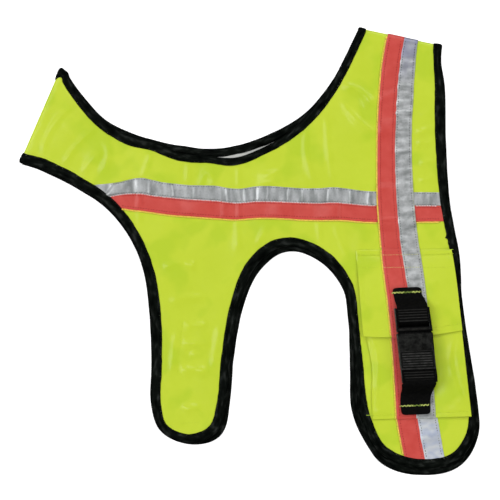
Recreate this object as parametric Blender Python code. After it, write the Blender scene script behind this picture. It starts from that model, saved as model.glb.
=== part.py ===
"""Dog safety vest, laid flat on its side.

The vest is a ring of coated cloth, closed over the chest and over the back. It
lies folded at those two places, so that one half covers the other: the near half
on top and the far half under it. Each half has a narrow front strap and a wide
rear strap with an arch between them, and black binding runs round every cut edge.
A red and a silver tape cross the near half, and another pair runs down it from the
back fold, over a flap and a pocket, to the tip of the rear strap. A strap with a
fastened buckle holds the flap on the pocket.

Sizes are in millimetres, +X to the right as laid, +Y towards the neck, +Z up, with
the surface it lies on at Z = 0. Blender's own units are metres.
"""

import math

import bmesh
import bpy
import numpy as np
from mathutils import Vector
from mathutils.geometry import delaunay_2d_cdt

MM = 0.001
MIDDLE = (-1.35, -0.06)  # the middle of the laid vest in the tables' frame

# ---------------------------------------------------------------- driving sizes
CLOTH = 1.2  # coated cloth with its backing
GAP = 0.3  # between pieces that are sewn or lie together
BIND = 0.9  # one leg of the folded binding
TAPE = 0.8
HALF = 2 * BIND + 2 * GAP + CLOTH  # one half with its binding: 3.6
NEAR_Z = HALF + GAP  # where the near half's binding starts
FOLD_Z = HALF + GAP / 2  # height of both fold axes
NEAR_CLOTH_Z = NEAR_Z + BIND + GAP
FAR_CLOTH_Z = BIND + GAP
FAR_BINDING = 8.0  # width of the far half's binding
WRAP = 7.5  # length of cloth that goes round a fold
WRAP_STEPS = 6
EDGE_IN = 2.0  # from the binding's outer edge to the cloth's edge inside it
CHORD = 0.35  # how far a facet may stray from its curve

# The near half's cut edge where the cloth meets the binding, the binding's width
# there, and how far the outermost edge of the two halves' bindings lies from it.
#       name               x      y   width  reach
NECK = [
    ("chest_fold",      -173.0, 157.0,  7.8,  7.8),
    ("collar_1",        -159.0, 136.0,  8.4,  8.5),
    ("collar_2",        -137.5, 111.5,  9.0,  9.4),
    ("collar_3",        -112.0,  96.0,  9.0, 10.6),
    ("collar_4",         -88.5,  90.0,  8.4, 10.4),
    ("dip_start",        -65.0,  81.0,  7.2, 13.2),
    ("dip_1",            -40.0,  79.0,  6.4, 13.2),
    ("dip_low",          -13.0,  77.0,  7.2, 17.4),
    ("dip_2",             10.5,  86.0,  6.4, 15.6),
    ("dip_end",           37.5, 101.0,  6.6, 12.6),
    ("rise_1",            59.0, 120.0,  7.8,  9.6),
    ("rise_2",            80.5, 150.0,  7.9,  8.0),
    ("back_fold",        104.5, 199.0,  7.7,  7.8),
]
HEM = [
    ("chest_fold",      -203.5,  87.5,  9.4, 10.0),
    ("chest_1",         -186.0,  83.0, 10.0, 11.2),
    ("chest_2",         -153.0,  66.5,  9.4, 10.4),
    ("chest_3",         -123.5,  46.0,  9.2, 10.4),
    ("chest_4",         -101.0,  16.5,  8.8,  9.4),
    ("front_strap_1",    -87.5, -16.0,  8.8,  9.5),
    ("front_strap_2",    -81.0, -55.5,  8.8, 10.0),
    ("front_strap_3",    -80.0,-100.5,  8.6, 10.0),
    ("front_strap_4",    -81.0,-138.0,  8.2,  8.8),
    ("front_tip_1",      -75.0,-157.0,  7.6,  7.7),
    ("front_tip_low",    -55.0,-164.8,  8.8,  9.5),
    ("front_tip_2",      -37.5,-157.5,  8.8, 12.8),
    ("front_strap_5",    -31.0,-138.0,  8.6, 12.0),
    ("front_strap_6",    -26.5, -95.0,  8.4, 11.0),
    ("front_strap_7",    -18.5, -48.0,  8.4, 11.4),
    ("arch_left",         -5.0, -12.5,  8.6, 13.3),
    ("arch_top_1",        18.5,   9.0,  8.6, 13.8),
    ("arch_top_2",        42.5,  11.5,  8.4, 12.7),
    ("arch_right",        72.5,  -3.5,  8.2, 11.3),
    ("rear_strap_1",      92.0, -31.0,  8.0,  9.9),
    ("rear_strap_2",      96.5, -59.0,  7.8,  9.2),
    ("rear_strap_3",     101.0,-102.0,  7.2, 11.7),
    ("rear_strap_4",     106.0,-142.5,  7.2, 14.6),
    ("rear_tip_1",       117.5,-171.0,  7.8, 13.4),
    ("rear_tip_2",       127.5,-180.0,  8.2, 15.0),
    ("rear_tip_low",     149.0,-187.0,  8.4, 14.2),
    ("rear_tip_3",       179.5,-183.0,  8.6, 13.4),
    ("rear_tip_4",       194.0,-163.5,  8.6, 10.6),
    ("rear_strap_5",     195.5,-133.0,  7.8,  8.0),
    ("rear_strap_6",     187.0, -73.5,  7.2,  7.2),
    ("back_1",           180.3,  -6.5,  7.8,  7.9),
    ("back_2",           171.0,  41.0,  8.2,  8.2),
    ("back_3",           166.0,  99.5,  9.0,  9.1),
    ("back_4",           165.5, 148.0,  8.6,  8.6),
    ("back_5",           164.5, 169.5,  6.8,  6.8),
    ("back_fold",        163.8, 186.0,  8.0,  8.0),
]
# The two fold axes: a point on each, and the direction out of the vest.
#         name     x       y      out_x    out_y
FOLDS = [
    ("chest", -172.0, 154.3, -0.9172, 0.3984),
    ("back", 104.0, 196.0, 0.2175, 0.9761),
]
# The pair of tapes across the near half: silver above the seam line, red below.
#       name       x     top   seam  bottom
ACROSS = [
    ("chest",   -143.0, 59.5, 51.5, 39.0),
    ("peak_1",  -110.5, 63.0, 51.8, 36.9),
    ("peak_2",   -88.5, 64.0, 50.4, 35.1),
    ("slope",    -56.5, 58.7, 47.1, 31.6),
    ("low_1",    -24.0, 56.4, 44.6, 29.0),
    ("middle_1",   8.5, 57.0, 45.2, 29.7),
    ("middle_2",  41.0, 55.5, 44.0, 29.1),
    ("middle_3",  73.5, 55.8, 43.5, 28.0),
    ("low_2",    106.0, 53.0, 42.0, 26.4),
    ("back_1",   138.0, 52.4, 41.1, 26.3),
    ("back_2",   175.0, 52.2, 40.8, 26.6),
]
# The pair down the rear strap: red left of the seam line, silver right of it.
#       name          y     left   seam   right
DOWN = [
    ("past_fold",   200.0, 125.6, 139.6, 151.3),
    ("back_fold",   191.0, 123.8, 137.7, 149.4),
    ("back_1",      169.5, 119.3, 134.7, 147.4),
    ("back_2",      148.0, 117.3, 132.9, 146.0),
    ("back_3",      126.5, 115.6, 131.1, 144.8),
    ("back_4",       94.0, 114.7, 130.2, 144.1),
    ("back_5",       61.5, 114.7, 130.2, 144.8),
    ("crossing",     40.0, 116.0, 132.1, 146.8),
    ("above_flap",   18.5, 117.5, 133.8, 148.6),
    ("flap_top",      1.0, 118.2, 136.2, 150.6),
    ("flap_1",      -24.5, 121.0, 140.1, 154.9),
    ("flap_2",      -46.0, 123.7, 143.1, 158.4),
    ("flap_low",    -76.0, 126.5, 145.2, 161.8),
    ("pocket_1",   -111.0, 129.2, 147.4, 163.6),
    ("pocket_2",   -148.0, 131.2, 148.8, 165.8),
]
TIP = [
    ("pocket_low", -150.0, 132.0, 149.5, 167.6),
    ("tip_1",      -170.5, 135.4, 152.8, 170.6),
    ("past_hem",   -193.0, 139.3, 157.4, 175.2),
]
# Flap and pocket of the rear strap: corners, clockwise from the top left.
#        name            x       y
FLAP = [
    ("top_left",       95.0,    1.0),
    ("top_right",     182.6,    1.8),
    ("bottom_right",  190.4,  -71.4),
    ("bottom_left",   101.0,  -77.0),
]
POCKET = [
    ("top_left",      101.2,  -49.0),
    ("top_right",     187.0,  -46.0),
    ("bottom_right",  198.6, -149.0),
    ("bottom_left",   110.5, -153.6),
]
FLAP_BEND = 0.055  # the flap's right edge stands out this much of its length
POCKET_PUFF = 0.5
POCKET_TAPE_TOP = -60.0  # the tapes on the pocket start here, under the flap

# Broad waves of the near half: height, centre, and reach along and across.
#       name          height     x      y    along  across  turn
WAVES = [
    ("left_arm",       0.7,  -150.0,  108.0,  34.0,  22.0,  55.0),
    ("below_neck",     0.6,    -8.0,   64.0,  60.0,  24.0,   5.0),
    ("front_strap",   -0.8,   -52.0,  -95.0,  50.0,  22.0,  88.0),
    ("middle",        -0.9,   -40.0,   10.0,  48.0,  30.0,  20.0),
    ("back",           0.8,    92.0,   96.0,  46.0,  30.0,  60.0),
    ("under_back",    -0.6,   158.0,   84.0,  50.0,  20.0,  88.0),
]

# Strap and buckle: a local frame, u down the strap and v to its right.
STRAP_AT = (147.4, -73.6)  # centre of the line where the two halves meet
STRAP_TURN = math.radians(5.0)
WEB_WIDTH = 24.6
WEB = 1.4
BUCKLE_Z = 12.5
MALE = {"length": 23.0, "width": 29.6, "height": 5.2}
FEMALE = {"length": 45.0, "width": 32.4, "height": 8.0}


# ------------------------------------------------------------------- curves
def smooth(rows, per=12):
    """A smooth curve through the rows: every column but the name, per samples a row."""
    knots = np.array([row[1:] for row in rows], float)
    steps = np.sqrt(np.linalg.norm(np.diff(knots[:, :2], axis=0), axis=1))
    at = np.concatenate([[0], np.cumsum(steps)])
    slopes = np.diff(knots, axis=0) / steps[:, None]
    tangents = np.empty_like(knots)
    tangents[0], tangents[-1] = slopes[0], slopes[-1]
    weight = (steps[1:] / (steps[1:] + steps[:-1]))[:, None]
    tangents[1:-1] = slopes[:-1] * weight + slopes[1:] * (1 - weight)
    out = []
    for k, step in enumerate(steps):
        for i in range(per):
            s = i / per
            out.append(
                (2 * s**3 - 3 * s**2 + 1) * knots[k]
                + (s**3 - 2 * s**2 + s) * step * tangents[k]
                + (3 * s**2 - 2 * s**3) * knots[k + 1]
                + (s**3 - s**2) * step * tangents[k + 1]
            )
    out.append(knots[-1])
    return np.array(out)


def ramp(x):
    x = np.clip(x, 0.0, 1.0)
    return x * x * (3 - 2 * x)


def past(points, fold):
    """How far each point lies beyond a fold's axis."""
    _, x, y, out_x, out_y = fold
    points = np.asarray(points, float)
    return (points[..., 0] - x) * out_x + (points[..., 1] - y) * out_y


def extended(line, length=14.0):
    head = line[0] - line[1]
    tail = line[-1] - line[-2]
    return np.vstack(
        [
            line[0] + head / np.linalg.norm(head) * length,
            line,
            line[-1] + tail / np.linalg.norm(tail) * length,
        ]
    )


def read(line, t):
    i = np.clip(np.floor(t).astype(int), 0, len(line) - 2)
    return line[i] + (line[i + 1] - line[i]) * (t - i)[..., None]


def crossing(line, fold, level):
    """Where along a line it reaches a distance past a fold's axis."""
    d = past(line, fold) - level
    i = int(np.nonzero(d[:-1] * d[1:] <= 0)[0][0])
    return i + d[i] / (d[i] - d[i + 1])


def sections(rows, side, far=False, per=12, chord=CHORD, longest=32.0):
    """Pairs of points, where the cloth enters the binding and on the binding's
    outer edge, from the chest fold to the back fold. At a fold both points of a
    pair lie on its axis."""
    curve = smooth(rows, per)
    along = np.gradient(curve[:, :2], axis=0)
    along /= np.linalg.norm(along, axis=1)[:, None]
    out = np.stack([-along[:, 1], along[:, 0]], axis=1) * side
    width, reach = curve[:, 2:3], curve[:, 3:4]
    if far:
        inner, outer = curve[:, :2] + out * (reach - FAR_BINDING), curve[:, :2] + out * reach
    else:
        inner, outer = curve[:, :2], curve[:, :2] + out * width
    inner, outer = extended(inner), extended(outer)
    level = -GAP if far else 0.0
    first, last = (crossing(inner, fold, level) for fold in FOLDS)
    shifts = [
        crossing(outer, fold, level) - at for fold, at in zip(FOLDS, (first, last))
    ]
    ts = np.concatenate(
        [[first], np.arange(math.ceil(first + 0.4), math.floor(last - 0.4) + 1), [last]]
    )
    arc = np.concatenate(
        [[0], np.cumsum(np.linalg.norm(np.diff(read(inner, ts), axis=0), axis=1))]
    )
    start = ramp(1 - arc / 26.0)
    end = ramp(1 - (arc[-1] - arc) / 26.0)
    a = read(inner, ts)
    b = read(outer, ts + shifts[0] * start + shifts[1] * end)
    # Keep as few pairs as hold the shape.
    keep = [0]
    i = 0
    while i < len(ts) - 1:
        j = min(i + 1, len(ts) - 1)
        while j < len(ts) - 1:
            bad = False
            for line in (a, b):
                p, q = line[i], line[j + 1]
                d = (q - p) / max(np.linalg.norm(q - p), 1e-9)
                mid = line[i + 1 : j + 1] - p
                if np.abs(mid[:, 0] * d[1] - mid[:, 1] * d[0]).max() > chord:
                    bad = True
            if bad or arc[j + 1] - arc[i] > longest:
                break
            j += 1
        keep.append(j)
        i = j
    a, b = a[keep], b[keep]
    if not far:
        for end, fold in ((0, FOLDS[0]), (-1, FOLDS[1])):
            step = np.array(fold[3:5]) * WRAP / WRAP_STEPS
            more = np.arange(1, WRAP_STEPS + 1)[:, None] * step
            if end == 0:
                a = np.vstack([a[0] + more[::-1], a])
                b = np.vstack([b[0] + more[::-1], b])
            else:
                a = np.vstack([a, a[-1] + more])
                b = np.vstack([b, b[-1] + more])
    return a, b


def place(x, y, z):
    """A point of the near half, given as if it lay unfolded: past a fold's axis it
    goes round the axis, half a turn at most."""
    for fold in FOLDS:
        d = float(past((x, y), fold))
        if d > 1e-6:
            turn = min(d / WRAP, 1.0) * math.pi
            up = z - FOLD_Z
            x += fold[3] * (up * math.sin(turn) - d)
            y += fold[4] * (up * math.sin(turn) - d)
            return (x, y, FOLD_Z + up * math.cos(turn))
    return (x, y, z)


# -------------------------------------------------------------------- meshes
def spot(x, y, z):
    """A point of the tables' frame in the part's own frame, in metres."""
    return ((x - MIDDLE[0]) * MM, (y - MIDDLE[1]) * MM, z * MM)


def make(name, points, faces, colour, roughness, metallic=0.0, sharp=35.0):
    mesh = bpy.data.meshes.new(name)
    mesh.from_pydata([spot(*p) for p in points], [], faces)
    bm = bmesh.new()
    bm.from_mesh(mesh)
    bmesh.ops.recalc_face_normals(bm, faces=bm.faces)
    bmesh.ops.triangulate(bm, faces=bm.faces)
    bm.to_mesh(mesh)
    bm.free()
    mesh.shade_smooth()
    mesh.set_sharp_from_angle(angle=math.radians(sharp))
    material = bpy.data.materials.new(name)
    material.use_nodes = True
    shader = material.node_tree.nodes["Principled BSDF"]
    shader.inputs["Base Color"].default_value = (*colour, 1)
    shader.inputs["Roughness"].default_value = roughness
    shader.inputs["Metallic"].default_value = metallic
    mesh.materials.append(material)
    obj = bpy.data.objects.new(name, mesh)
    bpy.context.scene.collection.objects.link(obj)
    return obj


def sweep(rings):
    """Points and faces of a closed solid through rings of equally many points."""
    n = len(rings[0])
    points = [p for ring in rings for p in ring]
    faces = [tuple(range(n - 1, -1, -1))]
    for i in range(len(rings) - 1):
        for j in range(n):
            k = (j + 1) % n
            faces.append((i * n + j, i * n + k, (i + 1) * n + k, (i + 1) * n + j))
    last = (len(rings) - 1) * n
    faces.append(tuple(range(last, last + n)))
    return points, faces


def slab(grid, low, high, put=lambda x, y, z: (x, y, z)):
    """A closed sheet over a grid of points, between two heights given as functions."""
    rows, columns = len(grid), len(grid[0])
    points = []
    for level in (low, high):
        for row in grid:
            points += [put(x, y, level(x, y)) for x, y in row]
    size = rows * columns

    def at(r, c, top):
        return top * size + r * columns + c

    faces = []
    for r in range(rows - 1):
        for c in range(columns - 1):
            square = [at(r, c, 0), at(r, c + 1, 0), at(r + 1, c + 1, 0), at(r + 1, c, 0)]
            faces.append(tuple(square))
            faces.append(tuple(i + size for i in reversed(square)))
    rim = (
        [(0, c) for c in range(columns)]
        + [(r, columns - 1) for r in range(1, rows)]
        + [(rows - 1, c) for c in range(columns - 2, -1, -1)]
        + [(r, 0) for r in range(rows - 2, 0, -1)]
    )
    for (r, c), (s, d) in zip(rim, rim[1:] + rim[:1]):
        faces.append((at(r, c, 0), at(s, d, 0), at(s, d, 1), at(r, c, 1)))
    return points, faces


def binding(name, pairs, base, put):
    """Cloth folded round an edge: a U in section, with the slot for the panel."""
    rings = []
    top = base + HALF
    for p, q in zip(*pairs):
        wide = max(np.linalg.norm(q - p), 1e-6)
        round_off, slot = 1 - 1.3 / wide, 1 - 1.5 / wide
        profile = [
            (0, top), (round_off, top), (1, top - 1.1), (1, base + 1.1),
            (round_off, base), (0, base), (0, base + BIND), (slot, base + BIND),
            (slot, top - BIND), (0, top - BIND),
        ]
        rings.append([put(*(p + (q - p) * part), z) for part, z in profile])
    return make(name, *sweep(rings), (0.012, 0.013, 0.014), 0.62)


def inside(points, outline):
    """Even-odd test of many points against a closed outline."""
    x, y = points[:, 0][:, None], points[:, 1][:, None]
    a, b = outline, np.roll(outline, -1, axis=0)
    crosses = (a[:, 1] > y) != (b[:, 1] > y)
    at = a[:, 0] + (y - a[:, 1]) * (b[:, 0] - a[:, 0]) / np.where(
        b[:, 1] == a[:, 1], 1e-9, b[:, 1] - a[:, 1]
    )
    return (crosses & (x < at)).sum(axis=1) % 2 == 1


def distance(points, line):
    """Distance of each point to an open line."""
    points = np.atleast_2d(points)
    a, d = line[:-1], np.diff(line, axis=0)
    t = ((points[:, None] - a) * d).sum(2) / np.maximum((d * d).sum(1), 1e-12)
    near = a + np.clip(t, 0, 1)[..., None] * d
    return np.linalg.norm(points[:, None] - near, axis=2).min(axis=1)


def rims(pairs):
    """The cloth's edge inside the binding, and a line just inside the open cloth."""
    p, q = pairs
    wide = np.linalg.norm(q - p, axis=1)[:, None]
    unit = (q - p) / wide
    return q - unit * EDGE_IN, p - unit * 1.0


def panel(name, neck, hem, low, put, far=False, spacing=19.0):
    """A half's cloth: its outline from the two edges, a grid of points inside."""
    (neck_edge, neck_line), (hem_edge, hem_line) = rims(neck), rims(hem)
    outline = np.vstack([neck_line, hem_line[::-1]])
    points = [tuple(p) for p in outline]
    n = len(neck_line)
    edges = [(i, (i + 1) % len(points)) for i in range(len(points))]
    # Lines across each fold, on which the cloth bends.
    levels = [] if far else range(WRAP_STEPS + 1)
    for side in (0, 1):
        for k in levels:
            i = k if side == 0 else n - 1 - k
            j = n + len(hem_line) - 1 - k if side == 0 else n + k
            a, b = outline[i], outline[j]
            count = max(int(np.linalg.norm(b - a) / 24), 1)
            chain = [i]
            for m in range(1, count):
                chain.append(len(points))
                points.append(tuple(a + (b - a) * m / count))
            chain.append(j)
            edges = [e for e in edges if set(e) != {i, j}]
            edges += list(zip(chain, chain[1:]))
    fixed = np.array(points)
    lo, hi = outline.min(axis=0), outline.max(axis=0)
    grid = [
        (lo[0] + spacing * (c + 0.5 * (r % 2)), lo[1] + spacing * 0.866 * r)
        for r in range(int((hi[1] - lo[1]) / (spacing * 0.866)) + 2)
        for c in range(int((hi[0] - lo[0]) / spacing) + 2)
    ]
    grid = np.array(grid)
    grid = grid[inside(grid, outline)]
    ring = np.vstack([outline, outline[:1]])
    grid = grid[distance(grid, ring) > spacing * 0.5]
    grid = grid[[min(np.linalg.norm(fixed - g, axis=1)) > spacing * 0.5 for g in grid]]
    points += [tuple(g) for g in grid]
    found = delaunay_2d_cdt([Vector(p) for p in points], edges, [], 0, 1e-5, True)
    new_points, _, new_faces, origin = found[0], found[1], found[2], found[3]
    flat = []
    for i, p in enumerate(new_points):
        flat.append(points[origin[i][0]] if origin[i] else (p[0], p[1]))
    where = {origin[i][0]: i for i in range(len(flat)) if origin[i]}
    middles = np.array([np.mean([flat[i] for i in f], axis=0) for f in new_faces])
    triangles = [tuple(f) for f, ok in zip(new_faces, inside(middles, outline)) if ok]
    # The strips that lie in the bindings.
    for line, first in ((neck_edge, 0), (hem_edge[::-1], n)):
        start = len(flat)
        flat += [tuple(p) for p in line]
        for i in range(len(line) - 1):
            a, b = where[first + i], where[first + i + 1]
            triangles += [(a, b, start + i + 1), (a, start + i + 1, start + i)]
    flat = np.array(flat)
    turned = []
    for f in triangles:
        a, b, c = flat[list(f)]
        area = (b[0] - a[0]) * (c[1] - a[1]) - (b[1] - a[1]) * (c[0] - a[0])
        if abs(area) > 0.01:  # not a sliver along a straight end
            turned.append(f if area > 0 else f[::-1])
    count = len(flat)
    heights = np.array([low(x, y) for x, y in flat])
    solid = [put(x, y, z) for (x, y), z in zip(flat, heights)]
    solid += [put(x, y, z + CLOTH) for (x, y), z in zip(flat, heights)]
    faces = [tuple(reversed(f)) for f in turned]
    faces += [tuple(i + count for i in f) for f in turned]
    used = {}
    for f in turned:
        for a, b in zip(f, f[1:] + f[:1]):
            used[(a, b)] = used.get((a, b), 0) + 1
    for a, b in used:
        if (b, a) not in used:
            faces.append((a, b, b + count, a + count))
    return make(name, solid, faces, (0.56, 0.67, 0.05), 0.42)


# ------------------------------------------------------------ heights and lines
bpy.context.scene.unit_settings.scale_length = 1.0
for old in list(bpy.data.objects):
    bpy.data.objects.remove(old, do_unlink=True)

near_neck = sections(NECK, 1)
near_hem = sections(HEM, -1)
far_neck = sections(NECK, 1, far=True)
far_hem = sections(HEM, -1, far=True)
EDGES = [near_neck[0], near_hem[0]]


def wave(x, y):
    """The near half's broad waves, which die away towards its edges and folds."""
    if not -230 < x < 230:
        return 0.0
    away = min(
        min(distance((x, y), line)[0] for line in EDGES),
        max(0.0, -past((x, y), FOLDS[0])),
        max(0.0, -past((x, y), FOLDS[1])),
    )
    total = 0.0
    for _, height, cx, cy, along, across, turn in WAVES:
        c, s = math.cos(math.radians(turn)), math.sin(math.radians(turn))
        u, v = (x - cx) * c + (y - cy) * s, (y - cy) * c - (x - cx) * s
        total += height * math.exp(-((u / along) ** 2) - (v / across) ** 2)
    return total * float(ramp(away / 34.0))


def near_low(x, y):
    return NEAR_CLOTH_Z + wave(x, y)


def near_top(x, y):
    return near_low(x, y) + CLOTH


def far_low(x, y):
    return FAR_CLOTH_Z


def right_edge(x, y):
    """1 over the rear strap's right binding, 0 some way inside it."""
    line = near_hem[0]
    right = line[(line[:, 0] > 150) & (line[:, 1] < 60)]
    right = right[np.argsort(-right[:, 1])]
    edge = np.interp(-y, -right[:, 1], right[:, 0])
    return float(ramp((x - (edge - 13.0)) / 8.0))


def flap_low(x, y):
    down = ramp((1.0 - y) / 62.0) * 3.2
    return near_top(x, y) + GAP + max(down, (BIND + GAP) * right_edge(x, y))


def pocket_low(x, y):
    left = np.interp(-y, [49.0, 153.6], [101.2, 110.5])
    puff = POCKET_PUFF * ramp((x - left) / 7.0) * ramp((y + 153.6) / 9.0)
    return near_top(x, y) + GAP + max(puff, (BIND + GAP) * right_edge(x, y))


def over_across(x, y):
    """How much the tapes down the strap rise to pass over the tapes across."""
    return (TAPE + GAP) * float(ramp((63.5 - y) / 8.0) * ramp((y - 16.5) / 8.0))


def column(curve, which, y):
    """A column of a table's curve, read at a height."""
    return float(np.interp(-y, -curve[:, 0], curve[:, which]))


def strip(left, right, low, top, ends, cuts=(), put=lambda x, y, z: (x, y, z), wraps=False, step=17.0):
    """A tape between two edge functions of y, from one end to the other. ends holds
    the y of the left and the right edge at the start and at the end."""
    (l0, r0), (l1, r1) = ends
    count = max(int(abs(l1 - l0) / step), 1)
    parts = sorted(
        {round(k / count, 4) for k in range(count + 1)}
        | {round((c - l0) / (l1 - l0), 4) for c in cuts if min(l0, l1) < c < max(l0, l1)}
    )
    grid = []
    for part in parts:
        yl, yr = l0 + (l1 - l0) * part, r0 + (r1 - r0) * part
        grid.append([(left(yl), yl), (right(yr), yr)])
    if wraps:
        out = np.array(FOLDS[1][3:5]) * WRAP / WRAP_STEPS
        more = [
            [tuple(np.array(p) + out * k) for p in grid[0]]
            for k in range(WRAP_STEPS, 0, -1)
        ]
        grid = more + grid
    return slab(grid, low, top, put)


def meets(edge, line, start, stop):
    """The y between start and stop at which an edge function crosses a line."""
    ys = np.linspace(start, stop, 240)
    walk = np.array([(edge(y), y) for y in ys])
    away = distance(walk, line)
    return float(ys[int(np.argmin(away))])


def at_fold(edge, level=0.0):
    """The y at which an edge function reaches the back fold's axis."""
    ys = np.linspace(170, 200, 3001)
    d = np.array([past((edge(y), y), FOLDS[1]) for y in ys]) - level
    return float(ys[int(np.argmin(np.abs(d)))])


SILVER = ((0.42, 0.44, 0.46), 0.38, 0.55)
RED = ((0.62, 0.07, 0.055), 0.45, 0.0)

# ---------------------------------------------------------------------- pieces
binding("neck_binding_near", near_neck, NEAR_Z, place)
binding("hem_binding_near", near_hem, NEAR_Z, place)
binding("neck_binding_far", far_neck, 0.0, lambda x, y, z: (x, y, z))
binding("hem_binding_far", far_hem, 0.0, lambda x, y, z: (x, y, z))
panel("side_near", near_neck, near_hem, near_low, place)
panel("side_far", far_neck, far_hem, far_low, lambda x, y, z: (x, y, z), far=True)

# Tapes across the near half, cut at the bindings' inner edges.
hem_line = near_hem[0]


def across_edge(which):
    table = smooth(ACROSS, 12)
    return lambda x: float(np.interp(x, table[:, 0], table[:, which]))


hem_curve = smooth(HEM, 12)[:, :2]


def hem_x(y, left):
    """x of the hem's inner edge at a height, on the chest side or the back side."""
    line = hem_curve
    if left:
        part = line[(line[:, 0] < -80) & (line[:, 1] > -30)]
    else:
        part = line[(line[:, 0] > 150) & (line[:, 1] > -60)]
    order = np.argsort(part[:, 1])
    return float(np.interp(y, part[order, 1], part[order, 0]))


def end_x(edge, left):
    x = -110.0 if left else 170.0
    for _ in range(12):
        x = hem_x(edge(x), left) + (0.6 if left else -0.6)
    return x


for name, (colour, roughness, metallic), above, below in (
    ("silver_tape_across", SILVER, across_edge(1), across_edge(2)),
    ("red_tape_across", RED, across_edge(2), across_edge(3)),
):
    shift = 0.0 if name.startswith("silver") else -0.4

    def upper(x, f=above, s=shift):
        return f(x) + s

    ends_up = (end_x(upper, True), end_x(upper, False))
    ends_low = (end_x(below, True), end_x(below, False))
    grid = []
    count = 20
    for k in range(count + 1):
        xu = ends_up[0] + (ends_up[1] - ends_up[0]) * k / count
        xl = ends_low[0] + (ends_low[1] - ends_low[0]) * k / count
        grid.append([(xl, below(xl)), (xu, upper(xu))])
    solid = slab(
        grid,
        lambda x, y: near_top(x, y) + GAP,
        lambda x, y: near_top(x, y) + GAP + TAPE,
    )
    make(name, *solid, colour, roughness, metallic)


def down_edges(rows, silver):
    curve = smooth(rows, 12)
    if silver:
        return (lambda y: column(curve, 2, y) + 0.2), (lambda y: column(curve, 3, y))
    return (lambda y: column(curve, 1, y)), (lambda y: column(curve, 2, y) - 0.2)


def line_y(a, b, x):
    return a[1] + (b[1] - a[1]) * (x - a[0]) / (b[0] - a[0])


corner = {row[0]: row[1:] for row in FLAP}
flap_corner = corner
pocket_corner = {row[0]: row[1:] for row in POCKET}

for silver in (True, False):
    colour, roughness, metallic = SILVER if silver else RED
    tag = "silver" if silver else "red"
    left, right = down_edges(DOWN, silver)

    # From the back fold to the flap.
    solid = strip(
        left, right,
        lambda x, y: near_top(x, y) + GAP + over_across(x, y),
        lambda x, y: near_top(x, y) + GAP + over_across(x, y) + TAPE,
        ((at_fold(left), at_fold(right)), (2.4, 2.4)),
        cuts=(63.5, 55.5, 24.5, 16.5),
        put=place, wraps=True,
    )
    make(tag + "_tape_back", *solid, colour, roughness, metallic)

    # On the flap.
    low_l = line_y(flap_corner["bottom_left"], flap_corner["bottom_right"], left(-75)) + 0.5
    low_r = line_y(flap_corner["bottom_left"], flap_corner["bottom_right"], right(-75)) + 0.5
    solid = strip(
        left, right,
        lambda x, y: flap_low(x, y) + CLOTH + GAP,
        lambda x, y: flap_low(x, y) + CLOTH + GAP + TAPE,
        ((0.8, 0.8), (low_l, low_r)), step=9.0,
    )
    make(tag + "_tape_flap", *solid, colour, roughness, metallic)

    # On the pocket.
    low_l = line_y(pocket_corner["bottom_left"], pocket_corner["bottom_right"], left(-150)) + 0.5
    low_r = line_y(pocket_corner["bottom_left"], pocket_corner["bottom_right"], right(-150)) + 0.5
    solid = strip(
        left, right,
        lambda x, y: pocket_low(x, y) + CLOTH + GAP,
        lambda x, y: pocket_low(x, y) + CLOTH + GAP + TAPE,
        ((POCKET_TAPE_TOP, POCKET_TAPE_TOP), (low_l, low_r)),
        cuts=(-144.6, -148.0), step=13.0,
    )
    make(tag + "_tape_pocket", *solid, colour, roughness, metallic)

    # From the pocket to the hem of the rear strap's tip.
    left, right = down_edges(TIP, silver)
    top_l = line_y(pocket_corner["bottom_left"], pocket_corner["bottom_right"], left(-152)) - 0.5
    top_r = line_y(pocket_corner["bottom_left"], pocket_corner["bottom_right"], right(-152)) - 0.5
    solid = strip(
        left, right,
        lambda x, y: near_top(x, y) + GAP,
        lambda x, y: near_top(x, y) + GAP + TAPE,
        (
            (top_l, top_r),
            (
                meets(left, hem_line, -165, -190) + 0.7,
                meets(right, hem_line, -165, -190) + 0.7,
            ),
        ),
        step=12.0,
    )
    make(tag + "_tape_tip", *solid, colour, roughness, metallic)

    # Round the fold the pair goes on down the far half, on its outer face.
    left, right = down_edges([*DOWN[:-1], *TIP], silver)
    far_line = far_hem[0]
    solid = strip(
        left, right,
        lambda x, y: FAR_CLOTH_Z - GAP - TAPE,
        lambda x, y: FAR_CLOTH_Z - GAP,
        (
            (at_fold(left, -GAP), at_fold(right, -GAP)),
            (
                meets(left, far_line, -165, -200) + 0.7,
                meets(right, far_line, -165, -200) + 0.7,
            ),
        ),
        step=24.0,
    )
    make(tag + "_tape_far", *solid, colour, roughness, metallic)


def quad(corners, across, down, bulge=0.0):
    """Grid over a four-sided piece; bulge pushes its right edge out near the top."""
    tl, tr, br, bl = (np.array(c[1:]) for c in corners)
    grid = []
    for i in range(down + 1):
        v = i / down
        a, b = tl + (bl - tl) * v, tr + (br - tr) * v
        b = b + np.array([bulge * abs(br[1] - tr[1]) * 4 * v * (1 - v) * (1 - v), 0.0])
        grid.append([tuple(a + (b - a) * j / across) for j in range(across + 1)])
    return grid


YELLOW = ((0.56, 0.67, 0.05), 0.42, 0.0)
make(
    "pocket",
    *slab(quad(POCKET, 9, 9), pocket_low, lambda x, y: pocket_low(x, y) + CLOTH),
    *YELLOW,
)
make(
    "pocket_flap",
    *slab(quad(FLAP, 9, 9, FLAP_BEND), flap_low, lambda x, y: flap_low(x, y) + CLOTH),
    *YELLOW,
)


# ---------------------------------------------------------- strap and buckle
def on_strap(u, v):
    """u down the strap from the buckle's parting line, v to the right."""
    c, s = math.cos(STRAP_TURN), math.sin(STRAP_TURN)
    return STRAP_AT[0] + v * c + u * s, STRAP_AT[1] + v * s - u * c


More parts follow.
